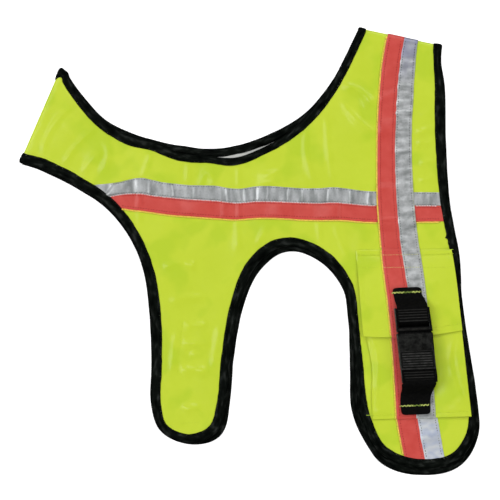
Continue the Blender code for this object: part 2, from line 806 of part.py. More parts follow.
def strap(name, profile, width):
    """A strap of one thickness over a profile of distance and underside height."""
    rings = []
    for k, (u, z, wide, aside) in enumerate(profile):
        a, b = profile[max(k - 1, 0)], profile[min(k + 1, len(profile) - 1)]
        run, rise = b[0] - a[0], b[1] - a[1]
        length = math.hypot(run, rise)
        nu, nz = -rise / length * WEB, run / length * WEB
        half = wide * width / 2
        rings.append(
            [
                (*on_strap(u, aside - half), z),
                (*on_strap(u, aside + half), z),
                (*on_strap(u + nu, aside + half), z + nz),
                (*on_strap(u + nu, aside - half), z + nz),
            ]
        )
    return make(name, *sweep(rings), (0.014, 0.014, 0.015), 0.75)


def top_of_flap_tape(u):
    x, y = on_strap(u, 0)
    return flap_low(x, y) + CLOTH + GAP + TAPE + GAP


def top_of_pocket_tape(u):
    x, y = on_strap(u, 0)
    return pocket_low(x, y) + CLOTH + GAP + TAPE + GAP


male_seat = BUCKLE_Z + 3.3
female_seat = BUCKLE_Z + 3.3
# Each strap: distance down, height of its underside, width over WEB_WIDTH, and how
# far its middle lies to the right of the buckle's.
strap(
    "strap_upper",
    [
        (-39.8, top_of_flap_tape(-39.8) + 0.35, 0.92, -2.6),
        (-38.3, top_of_flap_tape(-38.3) + 0.35, 1.0, -2.6),
        (-34.0, top_of_flap_tape(-34.0) + 0.3, 1.0, -2.4),
        (-30.0, top_of_flap_tape(-30.0) + 0.35, 1.01, -2.0),
        (-27.2, male_seat - 2.2, 1.02, -1.2),
        (-24.0, male_seat + 0.2, 1.02, 0.0),
        (-20.5, male_seat + 0.35, 1.02, 0.0),
        (-10.2, male_seat + 0.35, 1.02, 0.0),
    ],
    WEB_WIDTH,
)
strap(
    "strap_lower",
    [
        (35.0, female_seat + 0.3, 1.04, 0.0),
        (45.3, female_seat + 0.3, 1.04, 0.0),
        (47.2, female_seat + 0.0, 1.14, 0.4),
        (50.2, female_seat - 1.9, 1.12, -0.8),
        (55.0, top_of_pocket_tape(55.0) + 1.6, 1.08, -2.6),
        (60.5, top_of_pocket_tape(60.5) + 0.35, 1.02, -4.3),
        (66.0, top_of_pocket_tape(66.0) + 0.3, 1.0, -4.6),
        (72.0, top_of_pocket_tape(72.0) + 0.3, 0.98, -5.0),
        (74.0, top_of_pocket_tape(74.0) + 0.35, 0.9, -5.1),
    ],
    WEB_WIDTH,
)


def block(name, size, centre, taper=0.0, bevel=0.0, segments=1, hidden=False):
    """A block in the strap's frame: size and centre in u, v and z."""
    bm = bmesh.new()
    bmesh.ops.create_cube(bm, size=1)
    for v in bm.verts:
        shrink = 1 - taper if v.co.z > 0 else 1
        u = centre[0] + v.co.x * size[0] * shrink
        w = centre[1] + v.co.y * size[1] * shrink
        z = centre[2] + v.co.z * size[2]
        x, y = on_strap(u, w)
        v.co = Vector(spot(x, y, z))
    bmesh.ops.recalc_face_normals(bm, faces=bm.faces)
    if bevel:
        bmesh.ops.bevel(
            bm, geom=bm.edges[:], offset=bevel * MM, segments=segments, affect="EDGES"
        )
    mesh = bpy.data.meshes.new(name)
    bm.to_mesh(mesh)
    bm.free()
    obj = bpy.data.objects.new(name, mesh)
    bpy.context.scene.collection.objects.link(obj)
    if hidden:
        obj.hide_render = True
        obj.display_type = "WIRE"
        obj.hide_set(True)
    return obj


def boolean(obj, other, operation):
    modifier = obj.modifiers.new(operation.lower(), "BOOLEAN")
    modifier.operation = operation
    modifier.object = other
    modifier.solver = "EXACT"


def black(obj):
    material = bpy.data.materials.new(obj.name)
    material.use_nodes = True
    shader = material.node_tree.nodes["Principled BSDF"]
    shader.inputs["Base Color"].default_value = (0.014, 0.014, 0.015, 1)
    shader.inputs["Roughness"].default_value = 0.36
    obj.data.materials.append(material)


length, width, height = MALE["length"], MALE["width"], MALE["height"]
male = block(
    "buckle_tongue_half", (length - 0.6, width, height),
    (-length / 2 - 0.3, 0, BUCKLE_Z + height / 2), bevel=0.8,
)
for name, size, centre in (
    ("cut_seat", (14.5, 25.6, 4.0), (-16.75, 0, male_seat + 2.0)),
    ("cut_window", (5.9, 24.8, 12.0), (-7.25, 0, BUCKLE_Z + 3.0)),
):
    boolean(male, block(name, size, centre, hidden=True), "DIFFERENCE")
boolean(
    male,
    block("add_tongue", (12.0, 18.0, 2.4), (4.0, 0, BUCKLE_Z + 3.0), hidden=True),
    "UNION",
)
black(male)

length, width, height = FEMALE["length"], FEMALE["width"], FEMALE["height"]
female = block(
    "buckle_socket_half", (length - 0.4, width, height),
    (length / 2 + 0.5, 0, BUCKLE_Z + height / 2), bevel=1.3, segments=2,
)
for name, size, centre in (
    ("cut_mouth", (12.4, 18.8, 3.2), (5.2, 0, BUCKLE_Z + 3.0)),
    ("cut_strap_seat", (14.0, 26.4, 8.0), (41.6, 0, female_seat + 4.0)),
    ("cut_pad_ring", (14.2, 30.0, 2.0), (24.6, 0, BUCKLE_Z + height + 0.2)),
):
    boolean(female, block(name, size, centre, hidden=True), "DIFFERENCE")
boolean(
    female,
    block("add_pad", (12.6, 28.2, 1.4), (24.6, 0, BUCKLE_Z + height - 0.3), hidden=True),
    "UNION",
)
for k in range(6):
    boolean(
        female,
        block(
            "add_rib_%d" % k, (1.0, 26.6, 0.8),
            (19.6 + 2.0 * k, 0, BUCKLE_Z + height + 0.65), hidden=True,
        ),
        "UNION",
    )
black(female)
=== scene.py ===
"""Looks of a dog safety vest that lies flat on its side.

Every cloth piece is a thin shell in the space of its solid, with creases listed in tables of
millimetres: x to the right as laid, y towards the neck, z up. The functions here turn the tables
into fine meshes in metres, in the part's frame.
"""

import math

import bmesh
import bpy
import numpy as np
from mathutils import Matrix, Vector
from mathutils.geometry import delaunay_2d_cdt


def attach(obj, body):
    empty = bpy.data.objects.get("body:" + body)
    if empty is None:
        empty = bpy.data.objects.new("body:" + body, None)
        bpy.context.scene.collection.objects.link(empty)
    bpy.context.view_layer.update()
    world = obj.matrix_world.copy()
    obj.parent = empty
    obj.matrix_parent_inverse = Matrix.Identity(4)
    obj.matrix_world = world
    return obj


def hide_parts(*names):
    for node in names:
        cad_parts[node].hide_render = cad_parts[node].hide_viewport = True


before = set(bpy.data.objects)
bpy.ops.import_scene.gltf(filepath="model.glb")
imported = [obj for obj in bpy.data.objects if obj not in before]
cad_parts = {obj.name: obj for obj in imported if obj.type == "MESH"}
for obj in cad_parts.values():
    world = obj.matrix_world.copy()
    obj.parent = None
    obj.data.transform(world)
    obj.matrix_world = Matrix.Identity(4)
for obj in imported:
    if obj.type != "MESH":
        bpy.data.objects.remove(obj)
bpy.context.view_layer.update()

MM = 0.001
MIDDLE = (-1.35, -0.06)  # the middle of the laid vest in the tables' frame

# ---------------------------------------------------------------- sizes, in mm
CLOTH = 1.2
GAP = 0.3
BIND = 0.9
TAPE = 0.8
HALF = 2 * BIND + 2 * GAP + CLOTH
NEAR_Z = HALF + GAP
FOLD_Z = HALF + GAP / 2
NEAR_CLOTH_Z = NEAR_Z + BIND + GAP
FAR_CLOTH_Z = BIND + GAP
FAR_BINDING = 8.0
WRAP = 7.5
WRAP_STEPS = 12
EDGE_IN = 2.0
SHELL_LOW, SHELL_HIGH = 0.1, 1.1  # the shells lie this far up in their solids
TAPE_LOW, TAPE_HIGH = 0.06, 0.6

#       name               x      y   width  reach
NECK = [
    ("chest_fold",      -173.0, 157.0,  7.8,  7.8),
    ("collar_1",        -159.0, 136.0,  8.4,  8.5),
    ("collar_2",        -137.5, 111.5,  9.0,  9.4),
    ("collar_3",        -112.0,  96.0,  9.0, 11.2),
    ("collar_4",         -88.5,  90.0,  8.4, 10.0),
    ("dip_start",        -65.0,  81.0,  7.2, 14.2),
    ("dip_1",            -40.0,  79.0,  6.4, 13.2),
    ("dip_low",          -13.0,  77.0,  7.2, 17.8),
    ("dip_2",             10.5,  86.0,  6.4, 15.6),
    ("dip_end",           37.5, 101.0,  6.6, 13.1),
    ("rise_1",            59.0, 120.0,  8.1, 10.1),
    ("rise_2",            80.5, 150.0,  7.9,  8.0),
    ("back_fold",        104.5, 199.0,  7.1,  7.2),
]
HEM = [
    ("chest_fold",      -203.5,  87.5,  9.4, 10.0),
    ("chest_1",         -186.0,  83.0, 10.0, 11.2),
    ("chest_2",         -153.0,  66.5,  9.4, 10.9),
    ("chest_3",         -123.5,  46.0,  9.2, 10.4),
    ("chest_4",         -101.0,  16.5,  8.8,  9.4),
    ("front_strap_1",    -87.5, -16.0,  8.8,  9.5),
    ("front_strap_2",    -81.0, -55.5,  8.8, 10.5),
    ("front_strap_3",    -80.0,-100.5,  8.6,  9.6),
    ("front_strap_4",    -81.0,-138.0,  8.4,  9.0),
    ("front_tip_1",      -75.0,-157.0,  8.0,  8.3),
    ("front_tip_low",    -55.0,-164.8,  8.8,  9.5),
    ("front_tip_2",      -37.5,-157.5,  8.8, 13.3),
    ("front_strap_5",    -31.0,-138.0,  8.6, 12.0),
    ("front_strap_6",    -26.5, -95.0,  8.4, 11.4),
    ("front_strap_7",    -18.5, -48.0,  8.4, 12.1),
    ("arch_left",         -5.0, -12.5,  8.6, 13.8),
    ("arch_top_1",        18.5,   9.0,  8.6, 13.8),
    ("arch_top_2",        42.5,  11.5,  8.4, 12.4),
    ("arch_right",        72.5,  -3.5,  8.2, 11.3),
    ("rear_strap_1",      92.0, -31.0,  8.0,  9.9),
    ("rear_strap_2",      96.5, -59.0,  7.8,  9.2),
    ("rear_strap_3",     101.0,-102.0,  7.2, 11.9),
    ("rear_strap_4",     106.0,-142.5,  8.0, 15.1),
    ("rear_tip_1",       117.5,-171.0,  7.8, 13.2),
    ("rear_tip_2",       127.5,-180.0,  8.2, 15.1),
    ("rear_tip_low",     149.0,-187.0,  8.4, 14.7),
    ("rear_tip_3",       179.5,-183.0,  8.6, 13.8),
    ("rear_tip_4",       194.0,-163.5,  8.6, 11.3),
    ("rear_strap_5",     195.5,-133.0,  7.9,  8.3),
    ("rear_strap_6",     187.0, -73.5,  7.3,  7.3),
    ("back_0",           183.6, -40.0,  6.4,  6.4),
    ("back_1",           180.3,  -6.5,  7.8,  7.9),
    ("back_2",           171.0,  41.0,  8.6,  8.6),
    ("back_3",           166.0,  99.5,  9.6,  9.7),
    ("back_4",           165.5, 148.0,  9.1,  9.1),
    ("back_5",           164.5, 169.5,  7.0,  7.0),
    ("back_fold",        163.8, 186.0,  8.5,  8.5),
]
#         name     x       y      out_x    out_y
FOLDS = [
    ("chest", -172.8, 154.6, -0.9172, 0.3984),
    ("back", 104.0, 196.6, 0.2069, 0.9784),
]
#       name       x     top   seam  bottom
ACROSS = [
    ("chest",   -143.0, 59.2, 47.6, 36.8),
    ("chest_1", -131.9, 60.2, 48.6, 37.4),
    ("chest_2", -117.5, 62.1, 50.9, 38.4),
    ("rise",    -110.3, 63.9, 51.7, 37.5),
    ("peak_1",  -103.1, 65.5, 51.8, 36.6),
    ("peak_2",   -95.9, 65.4, 51.4, 35.8),
    ("peak_3",   -88.7, 63.8, 50.1, 34.8),
    ("slope_1",  -79.7, 61.8, 49.1, 33.5),
    ("slope_2",  -67.1, 60.3, 47.8, 32.0),
    ("slope_3",  -54.5, 59.1, 46.7, 31.2),
    ("crest_1",  -41.9, 58.9, 46.0, 30.2),
    ("crest_2",  -31.1, 58.5, 45.3, 29.5),
    ("low_1",    -22.1, 56.8, 44.3, 28.8),
    ("low_2",    -13.1, 55.9, 43.5, 28.4),
    ("low_3",     -5.9, 56.3, 43.8, 28.9),
    ("crest_3",    5.0, 58.1, 44.8, 29.8),
    ("crest_4",   17.6, 58.3, 44.8, 29.9),
    ("crest_5",   32.0, 57.2, 44.2, 29.3),
    ("low_4",     44.6, 56.4, 43.7, 28.4),
    ("low_5",     60.8, 56.4, 43.3, 27.9),
    ("crest_6",   75.2, 57.2, 43.8, 28.1),
    ("slope_4",   84.2, 56.4, 43.2, 27.8),
    ("slope_5",   95.0, 54.8, 42.2, 26.8),
    ("low_6",    107.6, 53.6, 41.1, 26.1),
    ("back_1",   138.0, 53.0, 41.1, 26.2),
    ("back_2",   175.0, 52.6, 40.8, 26.6),
]
#       name          y     left   seam   right
DOWN = [
    ("past_fold",   200.0, 124.4, 139.2, 151.6),
    ("back_fold",   189.5, 122.2, 137.5, 150.3),
    ("back_1",      177.0, 119.8, 135.4, 148.8),
    ("back_2",      164.3, 117.9, 133.6, 147.8),
    ("back_3",      148.0, 116.4, 132.0, 146.7),
    ("back_4",      132.8, 115.4, 130.9, 146.1),
    ("back_5",      120.2, 114.7, 130.4, 145.1),
    ("back_6",      101.0, 114.2, 129.7, 144.8),
    ("back_7",       82.4, 114.1, 129.6, 144.9),
    ("back_8",       69.8, 114.1, 129.9, 145.4),
    ("crossing",     45.5, 114.5, 131.0, 146.8),
    ("above_flap",   22.0, 116.1, 132.9, 149.1),
    ("flap_top",      3.2, 117.6, 134.9, 151.6),
    ("flap_0",       -9.5, 118.7, 137.1, 153.8),
    ("flap_1",      -22.1, 120.3, 139.0, 155.7),
    ("flap_2",      -46.0, 123.4, 142.8, 158.7),
    ("flap_low",    -76.0, 126.5, 145.2, 161.8),
    ("pocket_1",   -111.0, 129.2, 147.4, 163.8),
    ("pocket_2",   -148.0, 131.2, 148.8, 166.4),
]
TIP = [
    ("pocket_low", -150.0, 131.5, 149.6, 168.0),
    ("tip_1",      -163.5, 133.8, 151.9, 170.3),
    ("tip_2",      -177.8, 136.7, 154.5, 172.8),
    ("past_hem",   -193.0, 139.6, 157.6, 175.6),
]
#        name            x       y
FLAP = [
    ("top_left",       94.4,    1.0),
    ("top_right",     180.6,    1.4),
    ("bottom_right",  190.4,  -71.4),
    ("bottom_left",   101.0,  -77.0),
]
POCKET = [
    ("top_left",      101.2,  -49.0),
    ("top_right",     187.0,  -46.0),
    ("bottom_right",  198.6, -149.0),
    ("bottom_left",   109.6, -151.8),
]
FLAP_BEND = 0.018
FLAP_SAG = 3.0
POCKET_WAIST = 3.0
POCKET_PUFF = 0.5
POCKET_TAPE_TOP = -60.0

# Broad waves of the near half: height, centre, and reach along and across.
#       name          height     x      y    along  across  turn
WAVES = [
    ("left_arm",       0.25,  -150.0,  108.0,  34.0,  22.0,  55.0),
    ("below_neck",     0.3,    -8.0,   64.0,  60.0,  24.0,   5.0),
    ("front_strap",   -0.35,   -52.0,  -95.0,  50.0,  22.0,  88.0),
    ("middle",        -0.4,   -40.0,   10.0,  48.0,  30.0,  20.0),
    ("back",           0.4,    92.0,   96.0,  46.0,  30.0,  60.0),
    ("under_back",    -0.3,   158.0,   84.0,  50.0,  20.0,  88.0),
]
# Creases of the near half: a curve through three points, how wide and how high.
#       name               x0      y0      x1      y1      x2      y2  width height
CREASES = [
    ("arm_1",          -159.8,  131.0, -179.0,  110.4, -187.0,   86.9,  1.9,  0.36),
    ("arm_2",          -138.6,  111.2, -154.2,   97.4, -168.2,   77.4,  2.1,  0.40),
    ("arm_3",          -131.3,   98.9, -128.2,   84.4, -136.4,   67.6,  3.0,  0.48),
    ("arm_loop",       -131.4,   92.6, -144.8,   79.0, -148.4,   70.8,  3.2,  0.46),
    ("arm_4",           -89.6,   88.2,  -93.0,   77.4,  -97.4,   66.4,  1.9,  0.34),
    ("neck_1",          -56.0,   78.3,  -56.2,   70.0,  -56.8,   61.4,  1.9,  0.30),
    ("neck_2",          -38.8,   75.6,  -42.4,   67.0,  -46.0,   58.4,  2.4,  0.36),
    ("neck_2b",         -38.2,   74.0,  -34.8,   67.0,  -31.4,   58.4,  3.4,  0.50),
    ("neck_3",          -11.0,   75.6,  -10.6,   66.2,  -11.4,   56.7,  1.6,  0.28),
    ("neck_4",           17.6,   72.8,   18.4,   66.2,   18.0,   57.2,  7.4,  1.15),
    ("neck_5",           51.6,  109.8,   49.8,   86.0,   60.2,   58.1,  2.2,  0.35),
    ("neck_6",           68.9,  124.0,   69.8,   93.0,   74.8,   58.1,  1.9,  0.31),
    ("shoulder_1",       83.4,  147.6,   99.0,  143.8,  111.2,  128.4,  4.2,  0.84),
    ("shoulder_2",       83.4,  135.4,   94.2,  120.0,  117.6,  100.8,  3.2,  0.56),
    ("back_0",          151.6,  122.6,  158.0,  124.6,  165.2,  127.6,  3.0,  0.34),
    ("back_1",          150.0,  107.3,  158.0,  108.9,  167.0,  111.6,  3.2,  0.66),
    ("back_2",          149.0,   97.4,  158.0,   97.9,  168.0,   99.4,  2.4,  0.46),
    ("back_3",          151.7,   80.0,  159.8,   80.6,  167.8,   82.5,  2.2,  0.40),
    ("back_4",          151.7,   64.0,  159.8,   65.0,  167.8,   67.5,  2.6,  0.40),
    ("mid_1",           -99.8,   35.6,  -99.8,   29.4,  -99.6,   22.4,  1.6,  0.30),
    ("mid_2",           -12.2,   28.2,  -11.8,   14.1,  -11.6,    0.5,  2.2,  0.34),
    ("mid_3",            14.4,   23.9,   10.8,   15.0,    5.4,    4.7,  2.4,  0.36),
    ("mid_4",            62.0,   27.2,   62.2,   16.8,   63.4,    6.3,  2.2,  0.36),
    ("mid_5",            75.8,   24.6,   80.6,    8.2,   88.3,   -7.3,  1.8,  0.30),
    ("mid_6",           100.8,   21.2,   98.5,    6.8,   95.0,   -6.3,  5.0,  0.26),
    ("mid_7",            80.4,   -9.0,   85.6,  -12.6,   90.8,  -11.8,  2.0,  0.36),
    ("leg_1",           -77.9,  -15.3,  -68.9,  -11.2,  -60.8,   -9.5,  2.8,  0.48),
    ("leg_2",           -58.1,  -13.5,  -54.5,  -12.2,  -49.1,  -13.1,  3.8,  0.70),
    ("leg_3",           -74.7,  -46.4,  -54.5,  -41.0,  -40.1,  -44.6,  3.8,  0.56),
    ("patch_left",      -60.8,  -63.9,  -63.5,  -86.9,  -66.6, -110.7,  1.1, -0.22),
    ("patch_right",     -27.4,  -67.0,  -30.9,  -86.9,  -34.1, -105.8,  2.6,  0.42),
    ("patch_1",         -59.4,  -68.0,  -49.1,  -66.2,  -39.1,  -68.0,  3.6,  0.70),
    ("patch_2",         -60.8,  -84.2,  -49.1,  -83.2,  -38.2,  -84.6,  3.4,  0.65),
    ("patch_3",         -54.5,  -94.0,  -49.1,  -93.6,  -43.6,  -94.0,  2.6,  0.49),
    ("patch_4",         -62.6, -108.0,  -50.0, -107.1,  -37.8, -108.5,  4.4,  0.84),
    ("leg_4",           -66.0,  -71.5,  -69.2,  -91.4,  -70.1, -111.2,  2.2,  0.34),
    ("leg_5",           -59.9, -145.3,  -52.6, -140.8,  -45.5, -142.7,  4.2,  0.80),
]
# The far half's creases, on the side it lies on.
FAR_CREASES = [
    ("arm_1",          -150.0,  116.0, -168.0,  104.0, -180.0,   96.0,  3.0,  0.30),
    ("arm_2",          -122.0,   92.0, -134.0,   80.0, -140.0,   68.0,  4.0,  0.34),
    ("neck_1",          -48.0,   76.0,  -50.0,   60.0,  -46.0,   44.0,  3.4,  0.32),
    ("neck_2",           -6.0,   74.0,   -2.0,   52.0,   -6.0,   30.0,  4.4,  0.36),
    ("neck_3",           40.0,   96.0,   46.0,   66.0,   44.0,   34.0,  3.4,  0.34),
    ("back_1",           72.0,  128.0,   82.0,  104.0,  104.0,   92.0,  4.6,  0.40),
    ("back_2",          150.0,  120.0,  156.0,  118.0,  163.0,  124.0,  2.8,  0.26),
    ("front_strap_1",   -78.0,  -22.0,  -62.0,  -18.0,  -44.0,  -22.0,  4.2,  0.34),
    ("front_strap_2",   -60.0,  -66.0,  -58.0,  -90.0,  -62.0, -116.0,  3.0,  0.32),
    ("front_strap_3",   -42.0,  -70.0,  -44.0,  -96.0,  -46.0, -120.0,  3.6,  0.30),
    ("rear_strap_1",    102.0,  -20.0,  104.0,  -52.0,  108.0,  -84.0,  3.4,  0.34),
    ("rear_strap_2",    176.0,  -30.0,  180.0,  -66.0,  186.0, -100.0,  3.4,  0.34),
    ("rear_strap_3",    116.0, -120.0,  122.0, -140.0,  132.0, -160.0,  3.0,  0.26),
]
# Creases of the flap and the pocket, which also have their own folded sides.
FLAP_CREASES = [
    ("right_1",         163.8,  -24.8,  165.2,  -34.6,  167.0,  -44.6,  4.0,  0.24),
    ("right_2",         167.0,  -50.0,  174.2,  -44.6,  181.3,  -46.4,  4.0,  0.20),
    ("left_1",          109.4,  -15.8,  108.5,  -35.6,  111.2,  -60.8,  3.6,  0.18),
    ("left_2",           99.5,   -8.0,   99.0,  -30.0,  103.5,  -66.0,  1.8,  0.12),
]
POCKET_CREASES = [
    ("left_groove",     103.6,  -78.5,  111.8,  -98.0,  110.4, -140.0,  1.1, -0.10),
    ("left_ridge",      108.6,  -80.0,  114.6,  -98.0,  111.8, -128.0,  1.7,  0.14),
    ("right_groove",    186.0,  -78.0,  183.6, -102.0,  195.2, -140.0,  1.1, -0.24),
    ("right_ridge",     182.6,  -80.0,  179.6,  -98.0,  182.0, -116.0,  2.0,  0.12),
    ("low_left",        113.0, -146.0,  120.0, -143.0,  128.0, -147.0,  3.0,  0.16),
]
# Folds of the silver tape across, each a step up or down from left to right: place,
# rise, how far it takes, and how far its ends lean.
#      x      rise  width  lean
FOLDS_ACROSS = [
    (-126.9,  1.20,  3.6,  4.0),
    (-111.2, -1.20, 11.0,  1.5),
    (-103.5,  0.70,  3.2,  0.8),
    ( -95.0, -0.15,  8.0,  0.0),
    ( -91.8,  0.25,  1.6,  0.8),
    ( -89.5, -0.75,  2.4,  0.8),
    ( -74.0,  0.10,  8.0,  0.0),
    ( -70.6,  0.45,  1.4, -0.6),
    ( -68.8, -0.50,  2.0, -0.6),
    ( -59.0,  0.15, 10.0,  0.0),
    ( -51.8,  0.30,  2.0,  0.6),
    ( -49.0, -0.25,  3.5,  0.4),
    ( -38.0,  0.15,  9.0,  0.0),
    ( -26.1, -0.35,  1.5, -0.7),
    ( -21.8,  0.60,  1.7, -0.7),
    ( -19.4, -0.60,  2.2, -0.5),
    ( -13.0,  0.10,  6.0,  0.0),
    (  -8.6, -0.35,  1.4, -0.4),
    (  -6.3,  0.45,  1.7, -0.6),
    (   3.6, -0.35,  1.8,  0.3),
    (   5.9,  0.55,  2.0,  0.5),
    (  14.7,  0.30,  1.3,  0.2),
    (  16.3, -0.45,  1.5,  0.2),
    (  33.1,  0.35,  1.5,  0.4),
    (  36.0, -0.55,  3.6,  0.3),
    (  45.9,  0.35,  1.7,  0.4),
    (  48.6, -0.45,  3.6,  0.3),
    (  58.0,  0.25, 10.0,  0.0),
    (  67.0, -0.40,  2.4,  0.6),
    (  69.3,  0.50,  2.2,  0.7),
    (  80.6, -0.50,  4.0, -0.3),
    (  89.1,  0.35,  1.8,  0.3),
    (  92.0, -0.30,  2.4,  0.3),
    ( 105.3,  0.30,  2.0,  0.2),
    ( 108.5, -0.30,  3.0,  0.2),
    ( 160.6,  0.22,  3.0,  0.5),
    ( 166.0, -0.22,  3.0,  0.5),
]
# The red tape across, with softer folds.
FOLDS_RED_ACROSS = [
    (-103.0,  0.42,  3.6,  0.3),
    ( -98.0, -0.42,  4.0,  0.3),
    ( -57.0,  0.70, 20.0,  0.5),
    ( -37.0, -0.70, 12.0,  0.5),
    ( -26.5,  0.42,  4.0, -0.3),
    ( -21.5, -0.42,  4.0, -0.3),
    ( -12.6,  0.45,  3.6, -0.4),
    (  -8.6, -0.45,  3.6, -0.4),
    (  19.4,  0.85, 15.0,  0.5),
    (  34.0, -0.85, 11.0,  0.5),
    (  64.5,  1.00, 19.0,  0.4),
    (  79.5, -1.00,  6.0,  0.4),
]
# The silver tape down the back: the same, each a step up or down from the top.
#      y      rise  width  lean
FOLDS_DOWN = [
    ( 183.2,  0.20,  6.0,  0.5),
    ( 174.2, -0.20,  4.0,  0.5),
    ( 171.0,  0.25,  2.2, -0.8),
    ( 167.8, -0.25,  4.5, -0.5),
    ( 160.7,  0.35,  4.0,  0.5),
    ( 155.7, -0.35,  2.8, -0.6),
    ( 150.3,  0.45,  3.0, -0.4),
    ( 144.9, -0.45,  2.4, -0.8),
    ( 135.9,  0.45,  2.4,  0.6),
    ( 131.4, -0.45,  2.8,  1.0),
    ( 126.0,  0.60,  2.4,  0.3),
    ( 122.0, -0.85,  2.8, -0.4),
    ( 118.4,  0.30,  2.4,  0.4),
    ( 113.9, -0.18,  3.0,  0.5),
    ( 111.2,  0.18,  2.6, -0.5),
    ( 104.9, -0.20,  3.6,  0.5),
    (  98.6,  0.22,  3.0, -0.6),
    (  90.9,  0.25,  2.0,  0.6),
    (  88.7, -0.32,  2.8,  0.6),
    (  78.8, -0.15,  3.6, -0.5),
    (  74.3,  0.30,  2.8, -0.7),
    (  68.9, -0.30,  2.8,  0.8),
    (  61.7,  0.25,  2.4,  0.5),
    (  57.2, -0.25,  2.8, -0.6),
    (  47.7,  0.20,  3.6,  0.3),
    (  41.9, -0.20,  2.8, -0.4),
    (  36.5,  0.22,  3.6,  0.5),
    (  28.8,  0.22,  2.2, -0.6),
    (  25.2, -0.32,  2.8,  0.5),
    (  13.1,  0.32,  3.0,  0.4),
    (   8.6, -0.32,  3.6, -0.5),
    (  -6.0,  0.18,  2.8,  0.5),
    ( -12.6, -0.18,  2.8,  0.5),
    ( -19.8,  0.20,  3.0, -0.5),
    ( -25.0, -0.20,  3.0,  0.4),
]
FOLDS_RED_DOWN = [
    ( 143.0,  0.50,  7.0,  1.6),
    ( 135.0, -0.50,  6.0,  1.6),
    ( 117.0,  0.75, 13.0,  0.8),
    ( 104.0, -0.75, 14.0,  0.8),
    (  30.0,  0.25,  2.4,  0.6),
    (  27.0, -0.25,  2.4,  0.6),
]
FOLDS_TIP = [
    (-163.0,  0.25,  4.0,  1.4),
    (-171.0, -0.30,  6.0,  1.8),
]

# Strap and buckle: u down the strap, v to its right.
STRAP_AT = (147.4, -73.6)
STRAP_TURN = math.radians(5.9)
STRAP_SKEW = 0.06
WEB_WIDTH = 24.6
WEB = 1.4
BUCKLE_Z = 12.5

# ------------------------------------------------------------------- materials
YELLOW, YELLOW_LIGHT = (0.525, 0.650, 0.032), (0.560, 0.682, 0.040)
THREAD_YELLOW = (0.50, 0.74, 0.06)


class Nodes:
    """A material's node tree, built by short calls."""

    def __init__(self, name, colour, roughness, metallic=0.0, **sockets):
        self.material = bpy.data.materials.new(name)
        self.material.use_nodes = True
        self.tree = self.material.node_tree
        self.shader = self.tree.nodes["Principled BSDF"]
        self.set(**{"Base Color": (*colour, 1), "Roughness": roughness, "Metallic": metallic})
        self.set(**{k.replace("_", " "): v for k, v in sockets.items()})
        self.where = self.add("ShaderNodeTexCoord").outputs["Object"]
        self.bumps = []

    def set(self, **sockets):
        for key, value in sockets.items():
            self.shader.inputs[key].default_value = value

    def add(self, kind, inputs=(), **settings):
        node = self.tree.nodes.new(kind)
        for key, value in settings.items():
            setattr(node, key, value)
        for key, value in dict(inputs).items():
            if isinstance(value, bpy.types.NodeSocket):
                self.tree.links.new(value, node.inputs[key])
            else:
                node.inputs[key].default_value = value
        return node

    def math(self, operation, a, b=None):
        node = self.add("ShaderNodeMath", operation=operation)
        for slot, value in ((0, a), (1, b)):
            if isinstance(value, bpy.types.NodeSocket):
                self.tree.links.new(value, node.inputs[slot])
            elif value is not None:
                node.inputs[slot].default_value = value
        return node.outputs[0]

    def noise(self, size_mm, detail=2.0, rough=0.5, where=None):
        node = self.add(
            "ShaderNodeTexNoise",
            {"Scale": 1000 / size_mm, "Detail": detail, "Roughness": rough,
             "Vector": where or self.where},
        )
        return node.outputs["Fac"]

    def ramp(self, value, low, high, to_low=0.0, to_high=1.0):
        node = self.add(
            "ShaderNodeMapRange",
            {"Value": value, "From Min": low, "From Max": high, "To Min": to_low, "To Max": to_high},
            clamp=True,
        )
        return node.outputs["Result"]

    def mix(self, factor, a, b):
        node = self.add("ShaderNodeMix", data_type="RGBA")
        for key, value in (("Factor", factor), ("A", a), ("B", b)):
            sockets = [s for s in node.inputs if s.name == key and s.type == ("RGBA" if key != "Factor" else "VALUE")]
            if isinstance(value, bpy.types.NodeSocket):
                self.tree.links.new(value, sockets[0])
            else:
                sockets[0].default_value = (*value, 1) if key != "Factor" else value
        return next(s for s in node.outputs if s.type == "RGBA")

    def colour(self, socket):
        self.tree.links.new(socket, self.shader.inputs["Base Color"])

    def roughness(self, socket):
        self.tree.links.new(socket, self.shader.inputs["Roughness"])

    def bump(self, height, depth_mm, strength=1.0):
        node = self.add(
            "ShaderNodeBump",
            {"Height": height, "Strength": strength, "Distance": depth_mm * MM},
        )
        if self.bumps:
            self.tree.links.new(self.bumps[-1].outputs[0], node.inputs["Normal"])
        self.bumps.append(node)
        self.tree.links.new(node.outputs[0], self.shader.inputs["Normal"])
        return self

    def run(self):
        """Length along a strip and place across it, in metres, stored on its mesh."""
        node = self.add("ShaderNodeAttribute", attribute_name="run")
        split = self.add("ShaderNodeSeparateXYZ", {"Vector": node.outputs["Vector"]})
        return split.outputs["X"], split.outputs["Y"]

    def weave(self, u, v, pitch_u, pitch_v):
        """Threads over and under, from two lengths in metres."""
        a = self.math("SINE", self.math("MULTIPLY", u, 2 * math.pi / (pitch_u * MM)))
        b = self.math("SINE", self.math("MULTIPLY", v, 2 * math.pi / (pitch_v * MM)))
        return self.math("MULTIPLY", a, b)


